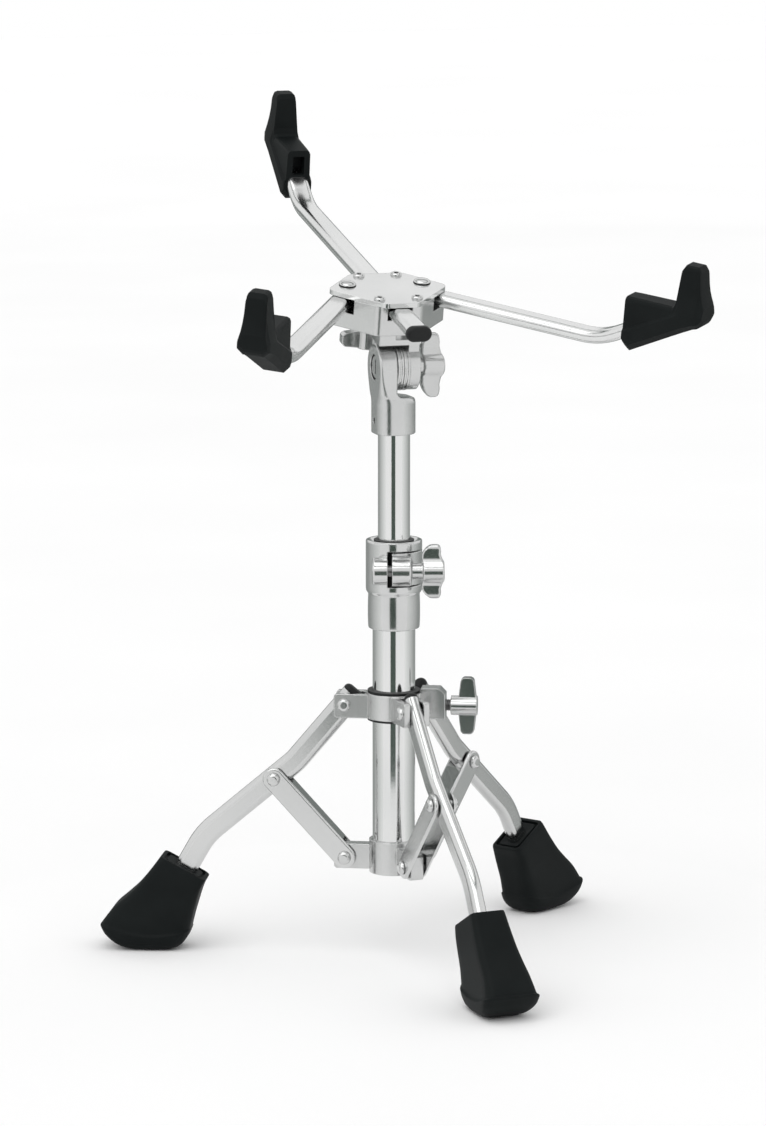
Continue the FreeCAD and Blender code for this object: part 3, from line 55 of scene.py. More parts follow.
NOISE_LOW = 0.3
NOISE_HIGH = 0.7
RELIEF_DEPTH = 0.15
BEVEL_SAMPLES = 6
CHROME_DARK = (0.95, 0.96, 0.955)
CHROME_LIGHT = (1.03, 1.035, 1.03)


def link(tree, start, end):
    tree.links.new(start, end)


def add(tree, kind, **values):
    """A shader node with its plain properties set."""
    node = tree.nodes.new(kind)
    for key, value in values.items():
        setattr(node, key, value)
    return node


def noise(tree, coordinates, scale, detail):
    node = add(tree, "ShaderNodeTexNoise")
    node.inputs["Scale"].default_value = scale
    node.inputs["Detail"].default_value = detail
    link(tree, coordinates, node.inputs["Vector"])
    return node.outputs["Fac"]


def spread(tree, value, low, high):
    """A noise value spread over a range."""
    node = add(tree, "ShaderNodeMapRange")
    node.inputs["From Min"].default_value = NOISE_LOW
    node.inputs["From Max"].default_value = NOISE_HIGH
    node.inputs["To Min"].default_value = low
    node.inputs["To Max"].default_value = high
    link(tree, value, node.inputs["Value"])
    return node.outputs["Result"]


def tone(tree, value, dark, light):
    node = add(tree, "ShaderNodeMix", data_type="RGBA")
    node.inputs["A"].default_value = (*dark, 1)
    node.inputs["B"].default_value = (*light, 1)
    link(tree, value, node.inputs["Factor"])
    return node.outputs["Result"]


def surface(name, dark, light, metallic, rough, patch, grain, relief, edge, specular=0.5):
    """A material with colour in patches, fine grain in roughness and relief, and edges of a soft radius."""
    material = bpy.data.materials.new(name)
    material.use_nodes = True
    tree = material.node_tree
    base = tree.nodes["Principled BSDF"]
    base.inputs["Metallic"].default_value = metallic
    base.inputs["Specular IOR Level"].default_value = specular
    place = add(tree, "ShaderNodeTexCoord").outputs["Object"]
    fine = noise(tree, place, grain, detail=3.0)
    broad = noise(tree, place, patch, detail=2.0)
    link(tree, tone(tree, spread(tree, broad, 0, 1), dark, light), base.inputs["Base Color"])
    both = add(tree, "ShaderNodeMath", operation="ADD", use_clamp=True)
    half = add(tree, "ShaderNodeMath", operation="MULTIPLY")
    half.inputs[1].default_value = 0.5
    link(tree, fine, both.inputs[0])
    link(tree, broad, both.inputs[1])
    link(tree, both.outputs["Value"], half.inputs[0])
    link(tree, spread(tree, half.outputs["Value"], *rough), base.inputs["Roughness"])
    bump = add(tree, "ShaderNodeBump")
    bump.inputs["Strength"].default_value = relief
    bump.inputs["Distance"].default_value = RELIEF_DEPTH * MM
    link(tree, fine, bump.inputs["Height"])
    if edge:
        bevel = add(tree, "ShaderNodeBevel", samples=BEVEL_SAMPLES)
        bevel.inputs["Radius"].default_value = edge * MM
        link(tree, bevel.outputs["Normal"], bump.inputs["Normal"])
    link(tree, bump.outputs["Normal"], base.inputs["Normal"])
    return material


def chrome(name, shade, rough, patch, grain, relief, edge):
    dark = tuple(shade * part for part in CHROME_DARK)
    light = tuple(shade * part for part in CHROME_LIGHT)
    return surface(name, dark, light, 1.0, rough, patch, grain, relief, edge)


# Each chrome: name, shade, range of roughness, scale of patches, scale of grain, relief, edge radius.
MATERIALS = {
    "chrome_tube": chrome("chrome_tube", 0.74, (0.06, 0.13), 14, 900, 0.012, 0.3),
    "chrome_casting": chrome("chrome_casting", 0.62, (0.11, 0.20), 40, 420, 0.05, 0.8),
    "chrome_wing": chrome("chrome_wing", 0.58, (0.10, 0.20), 60, 500, 0.06, 0.9),
    "chrome_plate": chrome("chrome_plate", 0.69, (0.09, 0.18), 30, 600, 0.025, 0.5),
    "steel_fastener": chrome("steel_fastener", 0.62, (0.10, 0.20), 80, 900, 0.04, 0.4),
    "black_nylon": surface("black_nylon", (0.006, 0.007, 0.007), (0.010, 0.011, 0.011), 0.0,
                           (0.38, 0.52), 60, 1800, 0.12, 0.5, specular=0.25),
    "black_rubber": surface("black_rubber", (0.0030, 0.0047, 0.0048), (0.0060, 0.0082, 0.0083), 0.0,
                            (0.5, 0.68), 45, 2400, 0.2, 0.6, specular=0.13),
}

# Finishes of single pieces that differ from the rest of their slot.
SATIN = chrome("satin_casting", 0.60, (0.20, 0.31), 40, 420, 0.05, 0.9)
ARM = chrome("arm_tube", 0.72, (0.15, 0.24), 14, 700, 0.015, 0.3)
LEG = chrome("leg_tube", 0.63, (0.13, 0.24), 18, 800, 0.03, 0.5)
STAY = chrome("stay_sheet", 0.64, (0.12, 0.22), 24, 800, 0.03, 0.4)
# A dark steel for the bolt's thread, and as painted shade on the clamp stud in its slit and on the spring
# pin in its hole.
THREAD_AND_PAINTED_SHADE = chrome("thread", 0.20, (0.25, 0.40), 80, 900, 0.05, 0)
FINISHES = {
    "head_body": SATIN, "lower_collar": SATIN, "leg_collar": SATIN,
    "arm_right": ARM, "arm_left": ARM, "arm_slide": ARM,
    "leg_1": LEG, "leg_2": LEG, "leg_3": LEG, "stay_1": STAY, "stay_2": STAY, "stay_3": STAY,
}

for name, node in nodes.items():
    node.data.materials.clear()
    node.data.materials.append(FINISHES.get(name, MATERIALS[slot_of[name]]))


# Mesh helpers

MERGE_DISTANCE = 0.01
ROUNDING_SEGMENTS = 3


def shell_object(name, shells):
    """A mesh of closed skins through rings of points in millimetres, each with the same count."""
    points = []
    faces = []
    for rings in shells:
        count = len(rings[0])
        first = len(points)
        points += [Vector(point) * MM for ring in rings for point in ring]
        faces.append(tuple(reversed(range(first, first + count))))
        for row in range(len(rings) - 1):
            low = first + row * count
            for step in range(count):
                after = (step + 1) % count
                faces.append((low + step, low + after, low + count + after, low + count + step))
        last = first + (len(rings) - 1) * count
        faces.append(tuple(range(last, last + count)))
    mesh = bpy.data.meshes.new(name)
    mesh.from_pydata(points, [], faces)
    build = bmesh.new()
    build.from_mesh(mesh)
    bmesh.ops.remove_doubles(build, verts=build.verts, dist=MERGE_DISTANCE * MM)
    bmesh.ops.recalc_face_normals(build, faces=build.faces)
    build.to_mesh(mesh)
    build.free()
    piece = bpy.data.objects.new(name, mesh)
    bpy.context.scene.collection.objects.link(piece)
    return piece


def carved(name, shells, changes):
    """A mesh to which closed skins are added or from which they are cut, in turn."""
    piece = shell_object(name, shells)
    for operation, tool_shells in changes:
        tool = shell_object(f"{name}_tool", tool_shells)
        change = piece.modifiers.new(operation, "BOOLEAN")
        change.operation = operation
        change.object = tool
        change.solver = "EXACT"
        bpy.context.view_layer.update()
        evaluated = piece.evaluated_get(bpy.context.evaluated_depsgraph_get())
        result = bpy.data.meshes.new_from_object(evaluated)
        piece.modifiers.clear()
        before = piece.data
        piece.data = result
        bpy.data.meshes.remove(before)
        tool_mesh = tool.data
        bpy.data.objects.remove(tool)
        bpy.data.meshes.remove(tool_mesh)
    piece.data.name = name
    steady = piece.modifiers.new("steady", "WEIGHTED_NORMAL")
    steady.keep_sharp = True
    return piece


def finished(piece, slot, body, edge=0.0, creased=35, finish=None):
    """A mesh as a piece on a body, smooth, with its edges rounded if asked."""
    mesh = piece.data
    for face in mesh.polygons:
        face.use_smooth = True
    if edge:
        rounding = piece.modifiers.new("rounding", "BEVEL")
        rounding.width = edge * MM
        rounding.segments = ROUNDING_SEGMENTS
        rounding.limit_method = "ANGLE"
        rounding.angle_limit = math.radians(creased)
        rounding.harden_normals = True
    else:
        mesh.set_sharp_from_angle(angle=math.radians(creased))
    mesh.materials.clear()
    mesh.materials.append(finish or MATERIALS[slot])
    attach(piece, body)
    return piece


def skin(name, shells, slot, body, edge=0.0, creased=35, finish=None):
    return finished(shell_object(name, shells), slot, body, edge, creased, finish)


def moved(rings, matrix):
    return [[matrix @ Vector(point) for point in ring] for ring in rings]


def circle_ring(radius, height, sides):
    turns = [2 * math.pi * step / sides for step in range(sides)]
    return [(radius * math.cos(turn), radius * math.sin(turn), height) for turn in turns]


def turned(outline, sides):
    """Rings of a turned shape, from an outline of (radius, height) pairs."""
    return [circle_ring(radius, height, sides) for radius, height in outline]


# Rubber boots: side profile of a boot in its leg's upright plane, radius and height in millimetres.
# Each row: outer point, inner point, half width, how far the middle sags, corner radius,
# and how much narrower the boot is on its inner side.
BOOT_POCKET = [
    ((151.0, 7.0), (141.0, 7.0), 4.6, 0.0, 2.4, 0.2),
    ((153.6, 0.9), (138.6, 0.9), 6.6, 0.0, 3.4, 0.2),
    ((155.0, 0.0), (137.2, 0.0), 7.6, 0.0, 4.0, 0.2),
]
BOOT_SOLE = [
    ((157.5, 0.0), (135.0, 0.0), 9.6, 0.0, 5.0, 0.20),
    ((163.5, 1.4), (131.0, 0.8), 12.4, 0.6, 5.4, 0.22),
    ((169.0, 5.0), (127.6, 3.2), 15.2, 2.4, 5.6, 0.24),
    ((173.6, 10.0), (124.6, 7.2), 17.1, 4.2, 5.6, 0.26),
    ((176.0, 15.0), (122.8, 11.4), 17.9, 5.2, 5.6, 0.27),
]
BOOT_LIP = [
    ((175.9, 15.9), (122.5, 12.3), 17.8, 5.2, 5.6, 0.27),
    ((174.8, 16.4), (122.6, 12.9), 16.8, 5.2, 5.4, 0.27),
]
BOOT_UPPER = [
    ((174.6, 17.2), (122.5, 13.8), 16.2, 5.1, 5.2, 0.26),
    ((169.0, 25.0), (120.6, 21.6), 14.5, 3.4, 4.6, 0.20),
    ((161.6, 31.6), (119.0, 27.2), 13.4, 1.9, 4.2, 0.13),
    ((154.4, 38.4), (117.6, 32.2), 12.5, 0.8, 3.8, 0.06),
    ((147.2, 47.2), (115.6, 38.0), 11.5, 0.2, 3.4, 0.0),
    ((140.6, 56.2), (113.3, 42.2), 10.7, 0.0, 3.2, 0.0),
]
BOOT_RIM = [
    ((139.6, 57.3), (112.9, 43.2), 10.3, 0.0, 3.2, 0.0),
    ((138.6, 57.0), (113.7, 44.0), 9.5, 0.0, 2.8, 0.0),
    ((137.6, 56.4), (114.7, 44.4), 8.7, 0.0, 2.4, 0.0),
    ((138.5, 54.9), (115.6, 42.9), 8.6, 0.0, 2.4, 0.0),
    ((136.9, 54.0), (117.2, 43.6), 7.2, 0.0, 2.2, 0.0),
    ((136.2, 55.2), (116.5, 44.8), 7.0, 0.0, 2.2, 0.0),
    ((135.2, 54.7), (117.5, 45.4), 6.2, 0.0, 2.2, 0.0),
    ((130.5, 50.4), (123.0, 46.4), 2.4, 0.0, 1.0, 0.0),
]
BOOT_CURVE_STEPS = 5
BOOT_CORNER_STEPS = 4
BOOT_SIDE_STEPS = 8
INSIDE_ROUNDING = 2.5
INSIDE_LIMIT = 0.9
LEG_COUNT = 3
LEG_AZIMUTH = 155.8
LEG_SPACING = 120


def flat(row):
    return [*row[0], *row[1], *row[2:]]


def curved_through(rows, steps):
    """Rows on a smooth curve through the given ones."""
    values = [flat(row) for row in rows]
    result = []
    for index in range(len(values) - 1):
        before = values[max(index - 1, 0)]
        start, end = values[index], values[index + 1]
        after = values[min(index + 2, len(values) - 1)]
        for step in range(steps):
            part = step / steps
            result.append([
                0.5 * (2 * b + (c - a) * part + (2 * a - 5 * b + 4 * c - d) * part ** 2
                       + (3 * b - a - 3 * c + d) * part ** 3)
                for a, b, c, d in zip(before, start, end, after)
            ])
    return result + [values[-1]]


def quarter_turn(first):
    """Angles of the points of a corner, from its first angle in degrees."""
    return [math.radians(first + 90 * step / BOOT_CORNER_STEPS) for step in range(BOOT_CORNER_STEPS + 1)]


def boot_ring(values):
    """A rounded rectangle between the outer and inner points of the profile, its middle lower."""
    outer_radius, outer_height, inner_radius, inner_height, half_width, sag, corner, taper = values
    half = math.hypot(outer_radius - inner_radius, outer_height - inner_height) / 2
    inside = min(corner * (1 + INSIDE_ROUNDING * taper), INSIDE_LIMIT * half_width)
    start, end = half - corner, inside - half
    outline = [(half, part * (half_width - corner)) for part in (0, 0.5)]
    for turn in quarter_turn(0):
        outline.append((start + corner * math.cos(turn), half_width - corner + corner * math.sin(turn)))
    for step in range(1, BOOT_SIDE_STEPS):
        outline.append((start + (end - start) * step / BOOT_SIDE_STEPS, half_width))
    for turn in quarter_turn(90):
        outline.append((end + inside * math.cos(turn), half_width - inside + inside * math.sin(turn)))
    outline += [(-half, part * (half_width - inside)) for part in (0.5, 0)]
    ring = []
    for along, across in outline + [(along, -across) for along, across in reversed(outline[1:-1])]:
        share = along / half
        radius = (outer_radius + inner_radius) / 2 + share * (outer_radius - inner_radius) / 2
        height = (outer_height + inner_height) / 2 + share * (outer_height - inner_height) / 2
        ring.append((radius, across * (1 - taper * (1 - share) / 2), height - sag * (1 - share ** 2)))
    return ring


boot_rows = [flat(row) for row in BOOT_POCKET] + curved_through(BOOT_SOLE, BOOT_CURVE_STEPS)
boot_rows += [flat(row) for row in BOOT_LIP]
boot_rows += curved_through(BOOT_UPPER, BOOT_CURVE_STEPS) + [flat(row) for row in BOOT_RIM]
for index in range(LEG_COUNT):
    turn = Matrix.Rotation(math.radians(LEG_AZIMUTH + LEG_SPACING * index), 4, "Z")
    rings = moved([boot_ring(row) for row in boot_rows], turn)
    boot = skin(f"boot_{index + 1}", [rings], "black_rubber", f"leg_{index + 1}")
    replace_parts(boot, f"foot_{index + 1}")


# Places on the head, which is tilted about the pivot on top of the column.
HEAD_TILT = 12.1
PIVOT = Vector((0, 0, 354.497))
ARM_MIDDLE = 43.2
RIVETS = {"right": (14.7, 3), "left": (-30.7, 3)}
SLIDE_X = -8


def on_head(x, along, height=0):
    """A frame that stands upright on the tilted head, its height counted from the tilt axis."""
    tilt = Matrix.Rotation(math.radians(HEAD_TILT), 4, "X")
    return Matrix.Translation(PIVOT) @ tilt @ Matrix.Translation((x, along, height))


def arm_frame(x, along, turn):
    """A frame in the tilted head, X out along an arm."""
    return on_head(x, along, ARM_MIDDLE) @ Matrix.Rotation(math.radians(turn), 4, "Z")


# Rubber claws: sections across a claw, at distances out from its inner face, in millimetres.
# Each row: distance, bottom, top, keel, shell half width, shell top, block half width, top half width.
CLAW_ROWS = [
    (0.0, 3.0, 30.2, 5.0, 8.9, 9.6, 7.6, 7.2),
    (1.4, 0.8, 30.3, 5.6, 9.2, 10.2, 7.6, 7.2),
    (4.6, -1.4, 30.4, 6.0, 9.5, 11.5, 7.7, 7.3),
    (29.6, 12.4, 30.5, 6.0, 9.6, 24.4, 8.4, 7.9),
    (31.2, 13.3, 31.8, 6.0, 9.6, 25.2, 8.6, 8.2),
    (32.2, 13.8, 35.0, 6.0, 9.6, 25.8, 8.4, 7.8),
    (33.6, 14.6, 53.4, 6.0, 9.6, 26.6, 7.5, 6.2),
    (35.4, 15.6, 56.2, 6.0, 9.6, 27.4, 7.5, 6.1),
    (43.2, 19.7, 56.2, 6.0, 9.6, 28.2, 7.5, 6.1),
    (45.2, 20.3, 53.4, 6.0, 9.5, 28.4, 7.5, 6.2),
    (46.0, 20.6, 46.4, 6.0, 9.4, 28.4, 7.7, 6.4),
    (46.8, 21.1, 41.6, 5.9, 9.2, 28.2, 7.9, 6.8),
    (47.8, 22.0, 37.8, 5.8, 9.0, 28.0, 8.1, 7.2),
    (48.8, 23.4, 35.0, 5.6, 8.7, 28.0, 8.1, 7.4),
    (49.5, 25.2, 33.2, 5.2, 8.1, 28.2, 7.7, 7.0),
]
POST_START = 32
KEEL_SHARE = 0.2
KEEL_RISE = 1.4
LEDGE_RISE = 1.6
FLARE_SHARE = 0.3
WAIST_SHARE = 0.55
WAIST_WIDTH = 0.35
CROWN_ROUND = 2.4
CROWN_SHARE = 0.3
POCKET_HALF_WIDTH = 3.6
POCKET_LOW = 15.0
POCKET_HIGH = 26.4
POCKET_DEPTH = 8.0
POCKET_MOUTH = 0.1
POCKET_ROUND = 0.5
POCKET_CUT = 0.2
POCKET_STEP = 3
CLAW_INNER = 16.5
CLAW_EDGE = 1.0
CLAW_CREASE = 11
ARM_REACH = 120
SLIDE_REACH = 175
RIGHT_SWING = 43
LEFT_SWING = -33.1


def mirrored(right):
    """A closed ring from its right half, which starts and ends on the middle plane."""
    return right + [(x, -y, z) for x, y, z in reversed(right[1:-1])]


def claw_ring(x, bottom, top, keel, shell, shell_top, block, crown):
    rise = top - shell_top
    fall = min(CROWN_ROUND, CROWN_SHARE * rise)
    ledge = LEDGE_RISE if x < POST_START else FLARE_SHARE * rise
    return mirrored([
        (x, 0, bottom),
        (x, keel, bottom),
        (x, shell, bottom + KEEL_SHARE * (shell_top - bottom) + KEEL_RISE),
        (x, shell, shell_top),
        (x, block, shell_top + ledge),
        (x, crown + WAIST_WIDTH * (block - crown), shell_top + WAIST_SHARE * rise),
        (x, crown, top - fall),
        (x, crown - CROWN_SHARE * CROWN_ROUND, top - CROWN_SHARE * fall),
        (x, crown - CROWN_ROUND, top),
        (x, 0, top),
    ])


def pocket_ring(x):
    wide = POCKET_HALF_WIDTH
    low = POCKET_LOW
    high = POCKET_HIGH
    return mirrored([
        (x, 0, low),
        (x, wide - POCKET_ROUND, low),
        (x, wide, low + POCKET_ROUND),
        (x, wide, low + POCKET_STEP),
        (x, wide, (low + high) / 2),
        (x, wide, high - POCKET_STEP),
        (x, wide, high - POCKET_ROUND),
        (x, wide - POCKET_CUT, high - POCKET_CUT),
        (x, wide - POCKET_ROUND, high),
        (x, 0, high),
    ])


CLAWS = {
    "right": ("right_arm", arm_frame(*RIVETS["right"], RIGHT_SWING - 90), ARM_REACH),
    "left": ("left_arm", arm_frame(*RIVETS["left"], LEFT_SWING - 90), ARM_REACH),
    "back": ("back_arm", arm_frame(SLIDE_X, 0, 90), SLIDE_REACH),
}
for side, (body, place, reach) in CLAWS.items():
    start = Matrix.Translation((reach + CLAW_INNER, 0, 0))
    rings = [pocket_ring(POCKET_DEPTH), pocket_ring(POCKET_MOUTH)]
    rings += [claw_ring(*row) for row in CLAW_ROWS]
    rings = moved(rings, place @ start)
    claw = skin(f"claw_pad_{side}", [rings], "black_rubber", body, edge=CLAW_EDGE, creased=CLAW_CREASE)
    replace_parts(claw, f"claw_{side}")


# Fasteners of the plate: turned outlines of (radius, height) pairs, from the bottom to the top.
PLATE_TOP = 50.3
SHAFT_BOTTOM = 29.5
SCREW_SIDES = 32
SCREW_SHAFT = [(2.5, SHAFT_BOTTOM), (2.5, PLATE_TOP), (3.4, PLATE_TOP)]
SCREW_HEAD = [(3.4, 0.5), (3.3, 1.0), (2.9, 1.4), (2.4, 1.6), (2.0, 1.65)]
SOCKET_HALF_FLAT = 1.35
SOCKET_TOP = 1.5
SOCKET_FLOOR = -1.4
SCREW_MIDDLE = (-8, -3.2)
SCREW_APART = (11.4, 21.4)
RIVET_SIDES = 48
# A black ring under each rivet head, as painted shadow in the seam between the head and the plate; the
# rivet sits on top of it.
SHADOW_RING_TOP = 0.4
RIVET_SHADOW_RING = [(4.2, 0.0), (5.05, 0.0), (5.1, 0.1), (5.1, 0.3), (5.05, SHADOW_RING_TOP), (4.2, SHADOW_RING_TOP)]
RIVET_SHAFT = [(3.0, SHAFT_BOTTOM), (3.0, PLATE_TOP + SHADOW_RING_TOP), (4.8, PLATE_TOP + SHADOW_RING_TOP)]
RIVET_DOME = [
    (4.95, 0.55), (4.95, 0.75), (4.75, 1.15), (4.3, 1.55),
    (3.6, 1.95), (2.7, 2.25), (1.6, 2.45), (0.5, 2.53),
]


def on_plate(outline):
    """An outline with its heights counted from the top of the plate."""
    return [(radius, PLATE_TOP + height) for radius, height in outline]


def hexagon_ring(half_flat, height, sides):
    """A hexagon with as many points as a circle ring."""
    ring = []
    for step in range(sides):
        turn = 2 * math.pi * step / sides
        reach = half_flat / math.cos((turn + math.pi / 6) % (math.pi / 3) - math.pi / 6)
        ring.append((reach * math.cos(turn), reach * math.sin(turn), height))
    return ring


screw = turned(SCREW_SHAFT + on_plate(SCREW_HEAD), SCREW_SIDES)
for height in (SOCKET_TOP, SOCKET_FLOOR):
    screw.append(hexagon_ring(SOCKET_HALF_FLAT, PLATE_TOP + height, SCREW_SIDES))
shells = []
for x in (-SCREW_APART[0], SCREW_APART[0]):
    for along in (-SCREW_APART[1], SCREW_APART[1]):
        shells.append(moved(screw, on_head(SCREW_MIDDLE[0] + x, SCREW_MIDDLE[1] + along)))
plate_screws = skin("plate_screws", shells, "steel_fastener", "basket_head", creased=25)
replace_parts(plate_screws, "head_screws")

for side, spot in RIVETS.items():
    # A black ring as painted shadow under the rivet head.
    shadow_ring = moved(turned(on_plate(RIVET_SHADOW_RING), RIVET_SIDES), on_head(*spot))
    skin(f"rivet_shadow_ring_{side}", [shadow_ring], "black_nylon", "basket_head")
    rivet = moved(turned(RIVET_SHAFT + on_plate(RIVET_DOME), RIVET_SIDES), on_head(*spot))
    rivet = skin(f"domed_rivet_{side}", [rivet], "steel_fastener", "basket_head")
    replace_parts(rivet, f"arm_rivet_{side}")


# Thread that shows between the sliding collar and its wing bolt.
COLLAR_WING_AZIMUTH = -23
COLLAR_PIN_HEIGHT = 152.342
THREAD_SIDES = 32
THREAD_START = 31.05
THREAD_TURNS = 3
THREAD_ROOT = 3.05
THREAD_CREST = 3.5
CREST_FROM = 0.35
CREST_TO = 0.65
sideways = Matrix.Rotation(math.radians(90), 4, "Y")
thread_outline = []
for step in range(THREAD_TURNS):
    thread_outline.append((THREAD_ROOT, THREAD_START + step))
    thread_outline.append((THREAD_CREST, THREAD_START + step + CREST_FROM))
    thread_outline.append((THREAD_CREST, THREAD_START + step + CREST_TO))
thread_outline.append((THREAD_ROOT, THREAD_START + THREAD_TURNS))
outward = Matrix.Rotation(math.radians(COLLAR_WING_AZIMUTH), 4, "Z") @ sideways
thread_place = Matrix.Translation((0, 0, COLLAR_PIN_HEIGHT)) @ outward
thread = moved(turned(thread_outline, THREAD_SIDES), thread_place)
skin("collar_bolt_thread", [thread], "steel_fastener", "collar_lock", creased=20, finish=THREAD_AND_PAINTED_SHADE)


# Clamp casting: turned outlines about the column and the barrel, with the slits that free its band.
CLAMP_TOP = 251.6
CLAMP_TURN = -17
BARREL_FORWARD = 19
BARREL_DROP = 16
CLAMP_SIDES = 96
KNUCKLE_SIDES = 64
STUD_SIDES = 32
CLAMP_OUTLINE = [
    (14.4, -53.0), (15.0, -52.7), (15.24, -52.0), (15.38, -49.5), (15.48, -46.0), (15.5, -42.5),
    (15.48, -39.0), (15.38, -35.5), (15.26, -32.8), (15.4, -31.9), (16.0, -31.2), (16.5, -30.3),
    (16.7, -29.0), (16.7, -27.5), (16.7, -3.0), (16.7, -1.0), (16.5, -0.3), (15.9, 0.0), (14.9, 0.0),
]
CLAMP_BORE = [(12.76, -54.0), (12.76, -31.8), (12.05, -31.8), (12.05, -2.9), (14.7, 0.0), (15.0, 1.0)]
KNUCKLE_LEFT = [(5.6, -13.1), (7.2, -12.8), (7.9, -12.2), (8.2, -11.2), (8.2, -2.2)]
KNUCKLE_RIGHT = [(8.9, -2.6), (8.9, 9.0), (8.6, 9.8), (8.0, 10.2), (6.8, 10.4)]
SPLIT_ACROSS = (-3.9, -1.1)
SPLIT_DEPTH = (-40, -8)
BAND_SLOTS = ((-6.1, -5.2), (-26.4, -25.5))
BAND_TURN = (-103, 50)
BAND_STEPS = 24
SLOT_RADII = (10.5, 34)
STUD = [(2.9, -11.0), (3.5, -10.4), (3.5, 22.8), (3.3, 23.6), (2.7, 24.4)]


def box_rings(x_range, y_range, z_range):
    (left, right), (front, back) = x_range, y_range
    corners = [(left, front), (right, front), (right, back), (left, back)]
    return [[(x, y, z) for x, y in corners] for z in z_range]


def band_slot(z_range):
    """A thin flat sector round the column."""
    (inner, outer), (low, high) = SLOT_RADII, z_range
    section = [(inner, low), (outer, low), (outer, high), (inner, high)]
    rings = []
    for step in range(BAND_STEPS + 1):
        turn = math.radians(BAND_TURN[0] + (BAND_TURN[1] - BAND_TURN[0]) * step / BAND_STEPS)
        ring = [(radius * math.cos(turn), radius * math.sin(turn), height) for radius, height in section]
        rings.append(ring)
    return rings


clamp_place = Matrix.Rotation(math.radians(CLAMP_TURN), 4, "Z") @ Matrix.Translation((0, 0, CLAMP_TOP))
barrel_place = clamp_place @ Matrix.Translation((0, -BARREL_FORWARD, -BARREL_DROP)) @ sideways
split = box_rings(SPLIT_ACROSS, SPLIT_DEPTH, (BAND_SLOTS[1][0], BAND_SLOTS[0][1]))
changes = [
    ("UNION", [moved(turned(KNUCKLE_LEFT, KNUCKLE_SIDES), barrel_place)]),
    ("UNION", [moved(turned(KNUCKLE_RIGHT, KNUCKLE_SIDES), barrel_place)]),
    ("DIFFERENCE", [moved(turned(CLAMP_BORE, CLAMP_SIDES), clamp_place)]),
    ("DIFFERENCE", [moved(split, clamp_place)]),
]
changes += [("DIFFERENCE", [moved(band_slot(z_range), clamp_place)]) for z_range in BAND_SLOTS]
clamp = carved("clamp_casting", [moved(turned(CLAMP_OUTLINE, CLAMP_SIDES), clamp_place)], changes)
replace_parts(finished(clamp, "chrome_casting", "base"), "clamp_body")
stud = moved(turned(STUD, STUD_SIDES), barrel_place)
# Dark as painted shade, where the stud lies in the slit.
stud = skin("clamp_stud", [stud], "steel_fastener", "base", finish=THREAD_AND_PAINTED_SHADE)
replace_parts(stud, "clamp_bolt")


# Tilter casting: level sections about the tilt axis, in millimetres.
# Each row: height, left, right, half depth, radius of the left corners, radius of the right corners.
TILTER_ROWS = [
    (-39.6, -11.9, 12.2, 12.2, 8.0, 12.2), (-39.2, -12.3, 12.6, 12.6, 8.4, 12.6),
    (-38.6, -12.4, 12.7, 12.7, 8.5, 12.7), (-21.6, -12.4, 12.7, 12.7, 8.5, 12.7),
    (-19.8, -12.4, 12.4, 12.7, 8.2, 12.3), (-18.5, -12.4, 11.4, 12.6, 7.6, 11.2),
    (-17.8, -12.4, 9.6, 12.6, 7.2, 9.4), (-17.5, -12.4, 6.5, 12.6, 6.9, 6.4),
    (-17.2, -12.4, 2.0, 12.7, 6.5, 3.6), (-16.2, -12.4, -0.5, 12.8, 5.8, 2.2),
    (-14.6, -12.4, -1.5, 12.9, 5.0, 1.6), (-8.0, -12.4, -1.5, 13.5, 2.8, 1.4),
    (-3.0, -12.4, -1.5, 13.9, 1.8, 1.3), (0.0, -12.4, -1.5, 14.0, 1.6, 1.3),
    (4.0, -12.4, -1.5, 13.42, 1.6, 1.3), (7.5, -12.4, -1.5, 11.82, 1.6, 1.3),
    (10.0, -12.4, -1.5, 9.80, 1.6, 1.3), (12.0, -12.3, -1.6, 7.21, 1.6, 1.3),
    (13.2, -12.1, -1.8, 4.66, 1.5, 1.2), (13.8, -11.6, -2.2, 2.36, 1.2, 1.0),
    (14.0, -11.0, -2.8, 0.8, 0.5, 0.5),
]
CORNER_STEPS = 8
RECESS_SIDES = 64
TILTER_RECESS = [(7.5, -14.0), (7.5, -8.4)]
PIN_HEIGHT = -31.6
HOLE_SIDES = 32
PIN_HOLE = [(2.0, -14.0), (2.0, -9.8)]
PIN_SIDES = 24
SPRING_PIN = [(1.35, -6.0), (1.35, -9.8), (1.9, -9.8), (1.9, 9.8), (1.35, 9.8), (1.35, 6.0)]


def rounded_ring(height, left, right, half, left_corner, right_corner):
    """A rectangle with round corners, of one size on the left and another on the right."""
    ring = []
    for x, y, corner, start in (
        (right - right_corner, half - right_corner, right_corner, 0),
        (left + left_corner, half - left_corner, left_corner, 90),
        (left + left_corner, left_corner - half, left_corner, 180),
        (right - right_corner, right_corner - half, right_corner, 270),
    ):
        for step in range(CORNER_STEPS + 1):
            turn = math.radians(start + 90 * step / CORNER_STEPS)
            ring.append((x + corner * math.cos(turn), y + corner * math.sin(turn), height))
    return ring


tilter_place = Matrix.Translation(PIVOT)
pin_place = tilter_place @ Matrix.Translation((0, 0, PIN_HEIGHT)) @ sideways
changes = [
    ("DIFFERENCE", [moved(turned(TILTER_RECESS, RECESS_SIDES), tilter_place @ sideways)]),
    ("DIFFERENCE", [moved(turned(PIN_HOLE, HOLE_SIDES), pin_place)]),
]
tilter_rings = [rounded_ring(*row) for row in TILTER_ROWS]
tilter = carved("tilter_casting", [moved(tilter_rings, tilter_place)], changes)
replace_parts(finished(tilter, "chrome_casting", "upper_column", finish=SATIN), "tilter_body")
pin = moved(turned(SPRING_PIN, PIN_SIDES), pin_place)
# Dark as painted shade, where the pin sits in its hole.
pin = skin("spring_pin", [pin], "steel_fastener", "upper_column", finish=THREAD_AND_PAINTED_SHADE)
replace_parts(pin, "tilter_roll_pin")


